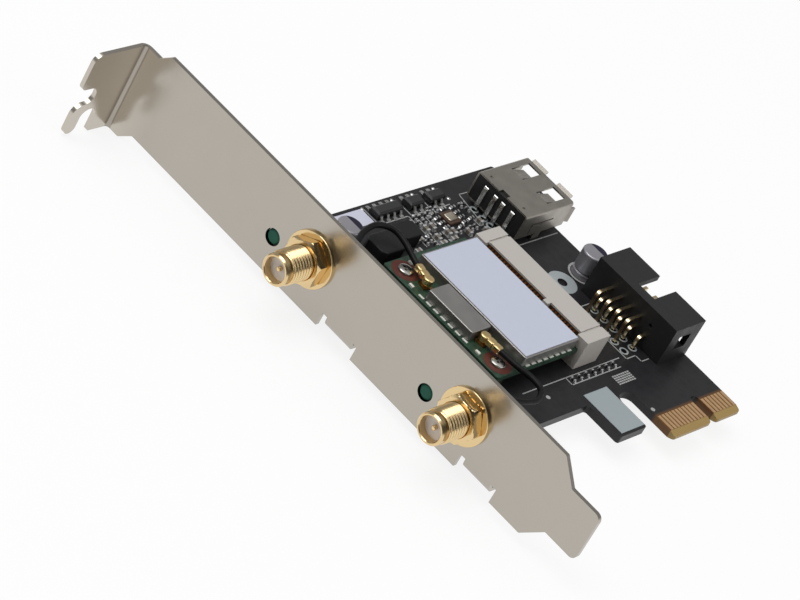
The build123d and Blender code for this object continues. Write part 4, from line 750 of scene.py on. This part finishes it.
class CARD_OT_lights(bpy.types.Operator):
    """Green status lights and their leads."""
    bl_idname = "card.lights"
    bl_label = "Status Lights"

    def execute(self, context):
        colours = context.scene.card_colours
        lens = Finish("light_lens_green", colours.lens, roughness=0.45, specular=0.12)
        lens.shader.inputs["Subsurface Weight"].default_value = 0.2
        lens.shader.inputs["Subsurface Radius"].default_value = (0.0003, 0.0008, 0.0005)
        lens.shader.inputs["Subsurface Scale"].default_value = 1.0
        lens.gloss(lens.noise(1.5), 0.4, 0.5)
        dress(lens.material, "status_light_upper", "status_light_lower")
        dress(plain("light_lead_tin", colours.tin, metallic=1.0, roughness=0.3), "light_leads")
        return {"FINISHED"}


class CARD_OT_radio(bpy.types.Operator):
    """Radio module: board, shields, screws and standoffs."""
    bl_idname = "card.radio"
    bl_label = "Radio Module"

    def execute(self, context):
        colours = context.scene.card_colours
        board = Finish("green_mask", colours.module, roughness=0.36)
        cells = board.cells(1.1)
        board.paint(board.blend(cells, colours.module, colours.module_pour))
        board.bump(cells, 0.015)
        dress(board.material, "radio_board")
        steel = Finish("shield_tin", colours.shield, metallic=0.9, roughness=0.4)
        steel.gloss(steel.noise(3.0), 0.36, 0.46)
        dress(steel.material, "main_shield", "small_shield")
        silver = plain("module_screw_steel", colours.module_screw, metallic=1.0, roughness=0.2)
        dress(silver, "module_standoffs")
        head = joined(cross_head(1.5, 0.65, 0.25, 0.4), rod(0.95, -3.95, 0, 24))
        places = spots(MODULE_SCREWS, MODULE_TOP_Z)
        add_piece("module_cross_screws", copies(turned(head, 25.0), places), silver,
                  replaced=("module_screws",))
        copper = plain("screw_land_copper", colours.land, metallic=0.4, roughness=0.4)
        add_piece("screw_lands", copies(washer(1.0, 2.75, 0, 0.02, 40), places), copper)
        long_pads = [(-42.1, 30.6 + 1.9 * i) for i in range(7)]
        short_pads = [(-34.2 + 1.7 * i, 21.55) for i in range(8)]
        small = [(-37.2, 24.0), (-37.2, 26.2), (-37.6, 47.2), (-37.4, 49.4), (-42.0, 27.4), (-42.0, 44.8)]
        tin = plain("module_tin", colours.module_tin, metallic=0.15, roughness=0.4)
        strips = joined(copies(block((0.45, 1.25, 0.12)), spots(long_pads, MODULE_TOP_Z)),
                        copies(block((1.1, 0.4, 0.1)), spots(short_pads, MODULE_TOP_Z)),
                        copies(block((0.55, 1.0, 0.35)), spots(small, MODULE_TOP_Z)))
        add_piece("module_pads", strips, tin)
        return {"FINISHED"}


class CARD_OT_socket(bpy.types.Operator):
    """Card socket and its springs."""
    bl_idname = "card.socket"
    bl_label = "Card Socket"

    def execute(self, context):
        colours = context.scene.card_colours
        dress(plain("socket_plastic_beige", colours.socket, roughness=0.5, grain=0.15, depth=0.003),
              "card_socket")
        bronze = plain("socket_spring_bronze", colours.bronze, metallic=0.9, roughness=0.32)
        dress(bronze, "socket_springs")
        # Painted shade: a dark brown sheet on the back wall of each slot, where the slots lie in shadow
        # behind the springs
        recess = plain("socket_recess_painted_shade", colours.recess, roughness=0.5)
        walls = [copies(block((0.05, high - low, 1.75)), [(-18.93, (low + high) / 2, SLOT_BASE_Z)])
                 for low, high in SOCKET_SLOTS]
        add_piece("socket_recess", joined(*walls), recess)
        blades = spots([(-19.0, y) for y in SPRING_YS], SLOT_BASE_Z)
        add_piece("spring_blades", copies(block((0.1, 0.42, 1.5)), blades), bronze)
        return {"FINISHED"}


class CARD_OT_port(bpy.types.Operator):
    """Upright port: shell, insulator and pins."""
    bl_idname = "card.port"
    bl_label = "Port"

    def execute(self, context):
        colours = context.scene.card_colours
        shell = Finish("port_shell_steel", colours.port, metallic=0.95, roughness=0.38)
        shell.gloss(shell.noise(2.0), 0.34, 0.44)
        shell.bump(shell.noise(0.3, stretch=(5.0, 1.0, 1.0)), 0.0015)
        dress(shell.material, "port_shell")
        dress(plain("port_block_black", colours.black, roughness=0.45, grain=0.12, depth=0.002, specular=0.3),
              "port_insulator")
        dress(plain("port_pin_tin", colours.port_pin, metallic=1.0, roughness=0.22), "port_pins")
        return {"FINISHED"}


class CARD_OT_header(bpy.types.Operator):
    """Shrouded header and its pins."""
    bl_idname = "card.header"
    bl_label = "Header"

    def execute(self, context):
        colours = context.scene.card_colours
        dress(plain("header_black", colours.black, roughness=0.5, grain=0.2, depth=0.004, specular=0.3),
              "header_shroud")
        dress(gold_plate("header_pin_gold", colours.header_pin, roughness=0.2), "header_pins")
        return {"FINISHED"}


class CARD_OT_capacitors(bpy.types.Operator):
    """Can capacitors with a dark band and their leads."""
    bl_idname = "card.capacitors"
    bl_label = "Can Capacitors"

    def execute(self, context):
        colours = context.scene.card_colours
        for place, (x, y) in CAN_PLACES.items():
            can = Finish(f"can_sleeve_{place}", colours.can, metallic=0.55, roughness=0.34)
            band = can.both(can.span("X", x + 0.75, x + 3.0, 0.02), can.span("Z", 5.0, 6.0))
            can.paint(can.blend(band, colours.can, colours.band))
            can.gloss(can.noise(1.5), 0.3, 0.4)
            dress(can.material, f"can_capacitor_{place}")
        dress(plain("can_lead_tin", colours.tin, metallic=1.0, roughness=0.3), "can_leads")
        return {"FINISHED"}


class CARD_OT_chips(bpy.types.Operator):
    """Power chips, chokes and the clock crystal."""
    bl_idname = "card.chips"
    bl_label = "Chips, Chokes and Crystal"

    def execute(self, context):
        colours = context.scene.card_colours
        dress(plain("chip_resin", colours.resin, roughness=0.48, grain=0.12, depth=0.003),
              "power_chip_near", "power_chip_middle", "power_chip_far")
        dress(plain("chip_lead_tin", colours.tin, metallic=1.0, roughness=0.3), "chip_leads")
        dress(plain("choke_ferrite", colours.ferrite, roughness=0.55, grain=0.2, depth=0.004, specular=0.25),
              "choke_near", "choke_far")
        dress(plain("crystal_ceramic", colours.ceramic, roughness=0.45), "crystal_tray")
        dress(plain("crystal_lid_metal", colours.lid, metallic=0.9, roughness=0.3), "crystal_lid")
        return {"FINISHED"}


class CARD_OT_chip_parts(bpy.types.Operator):
    """Chip resistors and chip capacitors with tinned ends."""
    bl_idname = "card.chip_parts"
    bl_label = "Chip Parts"

    def execute(self, context):
        colours = context.scene.card_colours
        dress(plain("resistor_black", colours.resistor, roughness=0.4), "chip_resistors")
        dress(plain("capacitor_tan", colours.chip_ceramic, roughness=0.45), "chip_capacitors")
        tin = plain("chip_end_tin", colours.chip_end, metallic=0.6, roughness=0.32, spread=0.1)
        ends = [copies(turned(shape, turn), spots(places[lie], 0.0))
                for places, size in ((RESISTORS, RESISTOR_SIZE), (CAPACITORS, CAPACITOR_SIZE))
                for lie, turn in (("x", 90.0), ("y", 0.0)) for shape in self.ends(*size)]
        add_piece("chip_ends", joined(*ends), tin, sharp=20.0)
        return {"FINISHED"}

    def ends(self, length, width, height):
        """The two tinned ends of a chip part: an end cap with a solder toe, as an outline carried across the
        width, and the same turned half round about Z."""
        far, cap, toe = length / 2 + 0.02, length * 0.27, 0.22
        outline = np.array(((far + toe, 0), (far + toe * 0.3, height * 0.35), (far, height * 0.7),
                            (far, height + 0.02), (far - cap, height + 0.02), (far - cap, 0)))
        shape = prism(outline, width + 0.04)
        return shape, turned(shape, 180.0)


class CARD_OT_stage(bpy.types.Operator):
    """Pale floor, soft light and the camera."""
    bl_idname = "card.stage"
    bl_label = "Stage"

    def execute(self, context):
        stage = context.scene.card_stage
        self.floor(stage)
        self.light(context.scene, stage)
        data = bpy.data.cameras.new("card_camera")
        data.sensor_fit, data.sensor_width, data.lens = "HORIZONTAL", 36.0, stage.lens
        data.clip_start = 0.01
        camera = bpy.data.objects.new("card_camera", data)
        camera.location = CAMERA_PLACE
        camera.rotation_euler = [math.radians(a) for a in CAMERA_TURN]
        context.scene.collection.objects.link(camera)
        context.scene.camera = camera
        context.scene.view_settings.view_transform = "Standard"
        return {"FINISHED"}

    def floor(self, stage):
        """A flat sheet under the card, white to the camera apart from the card's soft shadow."""
        half, height = 3.0, CAD_BOX[0][2]
        x, y = np.meshgrid((-half, half), (-half, half), indexing="ij")
        mesh = bpy.data.meshes.new("floor")
        mesh.from_pydata(np.stack([x, y, np.full(x.shape, height)], -1).reshape(-1, 3), [],
                         grid_quads(2, 2, False)[:, ::-1])
        finish = Finish("floor_pale", stage.floor, roughness=0.9, specular=0.0)
        glow = finish.add("ShaderNodeEmission")
        glow.inputs["Color"].default_value = (1.0, 1.0, 1.0, 1.0)
        glow.inputs["Strength"].default_value = 1.0
        # This share of what is seen is white, and the rest is the lit sheet, which carries the shadow
        share = finish.add("ShaderNodeMath", operation="MULTIPLY")
        share.inputs[1].default_value = 0.86
        finish.join(seen_rays(finish.tree), share.inputs[0])
        mix = finish.add("ShaderNodeMixShader")
        finish.join(share.outputs["Value"], mix.inputs["Fac"])
        finish.join(finish.shader.outputs["BSDF"], mix.inputs[1])
        finish.join(glow.outputs["Emission"], mix.inputs[2])
        finish.join(mix.outputs["Shader"], finish.tree.nodes["Material Output"].inputs["Surface"])
        mesh.materials.append(finish.material)
        floor = bpy.data.objects.new("floor", mesh)
        bpy.context.scene.collection.objects.link(floor)

    def light(self, scene, stage):
        """A studio round the card, brightest overhead, dim part way up its walls and darkest behind the
        camera, with one large lamp above and a weaker one at the contact end."""
        world = bpy.data.worlds.new("studio")
        world.use_nodes = True
        tree = world.node_tree
        direction = tree.nodes.new("ShaderNodeTexCoord").outputs["Generated"]
        split = tree.nodes.new("ShaderNodeSeparateXYZ")
        tree.links.new(direction, split.inputs["Vector"])
        ramp = tree.nodes.new("ShaderNodeValToRGB")
        stops = ((0.0, 0.9), (0.28, stage.walls), (0.7, stage.walls), (0.9, 1.0))
        for index, (height, grey) in enumerate(stops):
            stop = ramp.color_ramp.elements[index] if index < 2 else ramp.color_ramp.elements.new(height)
            stop.position, stop.color = height, (grey, grey, grey, 1.0)
        tree.links.new(split.outputs["Z"], ramp.inputs["Fac"])
        # How far a direction points behind the camera
        facing = tree.nodes.new("ShaderNodeVectorMath")
        facing.operation = "DOT_PRODUCT"
        facing.inputs[1].default_value = (-0.87, -0.48, 0.0)
        tree.links.new(direction, facing.inputs[0])
        dim = tree.nodes.new("ShaderNodeMapRange")
        for key, value in (("From Min", 0.45), ("From Max", 0.75), ("To Min", 1.0),
                           ("To Max", stage.dark_side)):
            dim.inputs[key].default_value = value
        tree.links.new(facing.outputs["Value"], dim.inputs["Value"])
        level = tree.nodes.new("ShaderNodeMath")
        level.operation = "MULTIPLY"
        tree.links.new(ramp.outputs["Color"], level.inputs[0])
        tree.links.new(dim.outputs["Result"], level.inputs[1])
        tree.links.new(level.outputs["Value"], tree.nodes["Background"].inputs["Color"])
        tree.nodes["Background"].inputs["Strength"].default_value = stage.fill
        scene.world = world
        lamps = (("key", stage.key_power, (-0.30, 0.30, 0.85), (-16.0, -17.0, 0.0)),
                 ("side", stage.side_power, (0.20, -0.72, 0.42), (62.0, 0.0, 17.0)))
        for name, power, place, turn in lamps:
            lamp = bpy.data.lights.new(name, "AREA")
            lamp.shape, lamp.size, lamp.energy = "SQUARE", 0.7, power
            lit = bpy.data.objects.new(name, lamp)
            lit.location = place
            lit.rotation_euler = [math.radians(a) for a in turn]
            scene.collection.objects.link(lit)


OPERATORS = (CARD_OT_bracket, CARD_OT_boards, CARD_OT_marks, CARD_OT_jacks, CARD_OT_jack_hardware,
             CARD_OT_pigtails, CARD_OT_lights, CARD_OT_radio, CARD_OT_socket, CARD_OT_port, CARD_OT_header,
             CARD_OT_capacitors, CARD_OT_chips, CARD_OT_chip_parts, CARD_OT_stage)


class CARD_PT_sidebar(bpy.types.Panel):
    """Sizes, colours and steps of the network card."""
    bl_idname = "CARD_PT_sidebar"
    bl_label = "Network Card"
    bl_space_type = "VIEW_3D"
    bl_region_type = "UI"
    bl_category = "Network Card"

    def draw(self, context):
        for group in (context.scene.card_sizes, context.scene.card_colours, context.scene.card_stage):
            box = self.layout.box()
            for key in group.__annotations__:
                box.prop(group, key)
        for operator in OPERATORS:
            self.layout.operator(operator.bl_idname)


CLASSES = (CardSizes, CardColours, CardStage, *OPERATORS, CARD_PT_sidebar)


def register():
    for cls in CLASSES:
        bpy.utils.register_class(cls)
    bpy.types.Scene.card_sizes = bpy.props.PointerProperty(type=CardSizes)
    bpy.types.Scene.card_colours = bpy.props.PointerProperty(type=CardColours)
    bpy.types.Scene.card_stage = bpy.props.PointerProperty(type=CardStage)


def unregister():
    del bpy.types.Scene.card_sizes, bpy.types.Scene.card_colours, bpy.types.Scene.card_stage
    for cls in reversed(CLASSES):
        bpy.utils.unregister_class(cls)


def main():
    register()
    for step in (bpy.ops.card.bracket, bpy.ops.card.boards, bpy.ops.card.marks, bpy.ops.card.jacks,
                 bpy.ops.card.jack_hardware, bpy.ops.card.pigtails, bpy.ops.card.lights, bpy.ops.card.radio,
                 bpy.ops.card.socket, bpy.ops.card.port, bpy.ops.card.header, bpy.ops.card.capacitors,
                 bpy.ops.card.chips, bpy.ops.card.chip_parts, bpy.ops.card.stage):
        step()


if __name__ == "__main__":
    main()
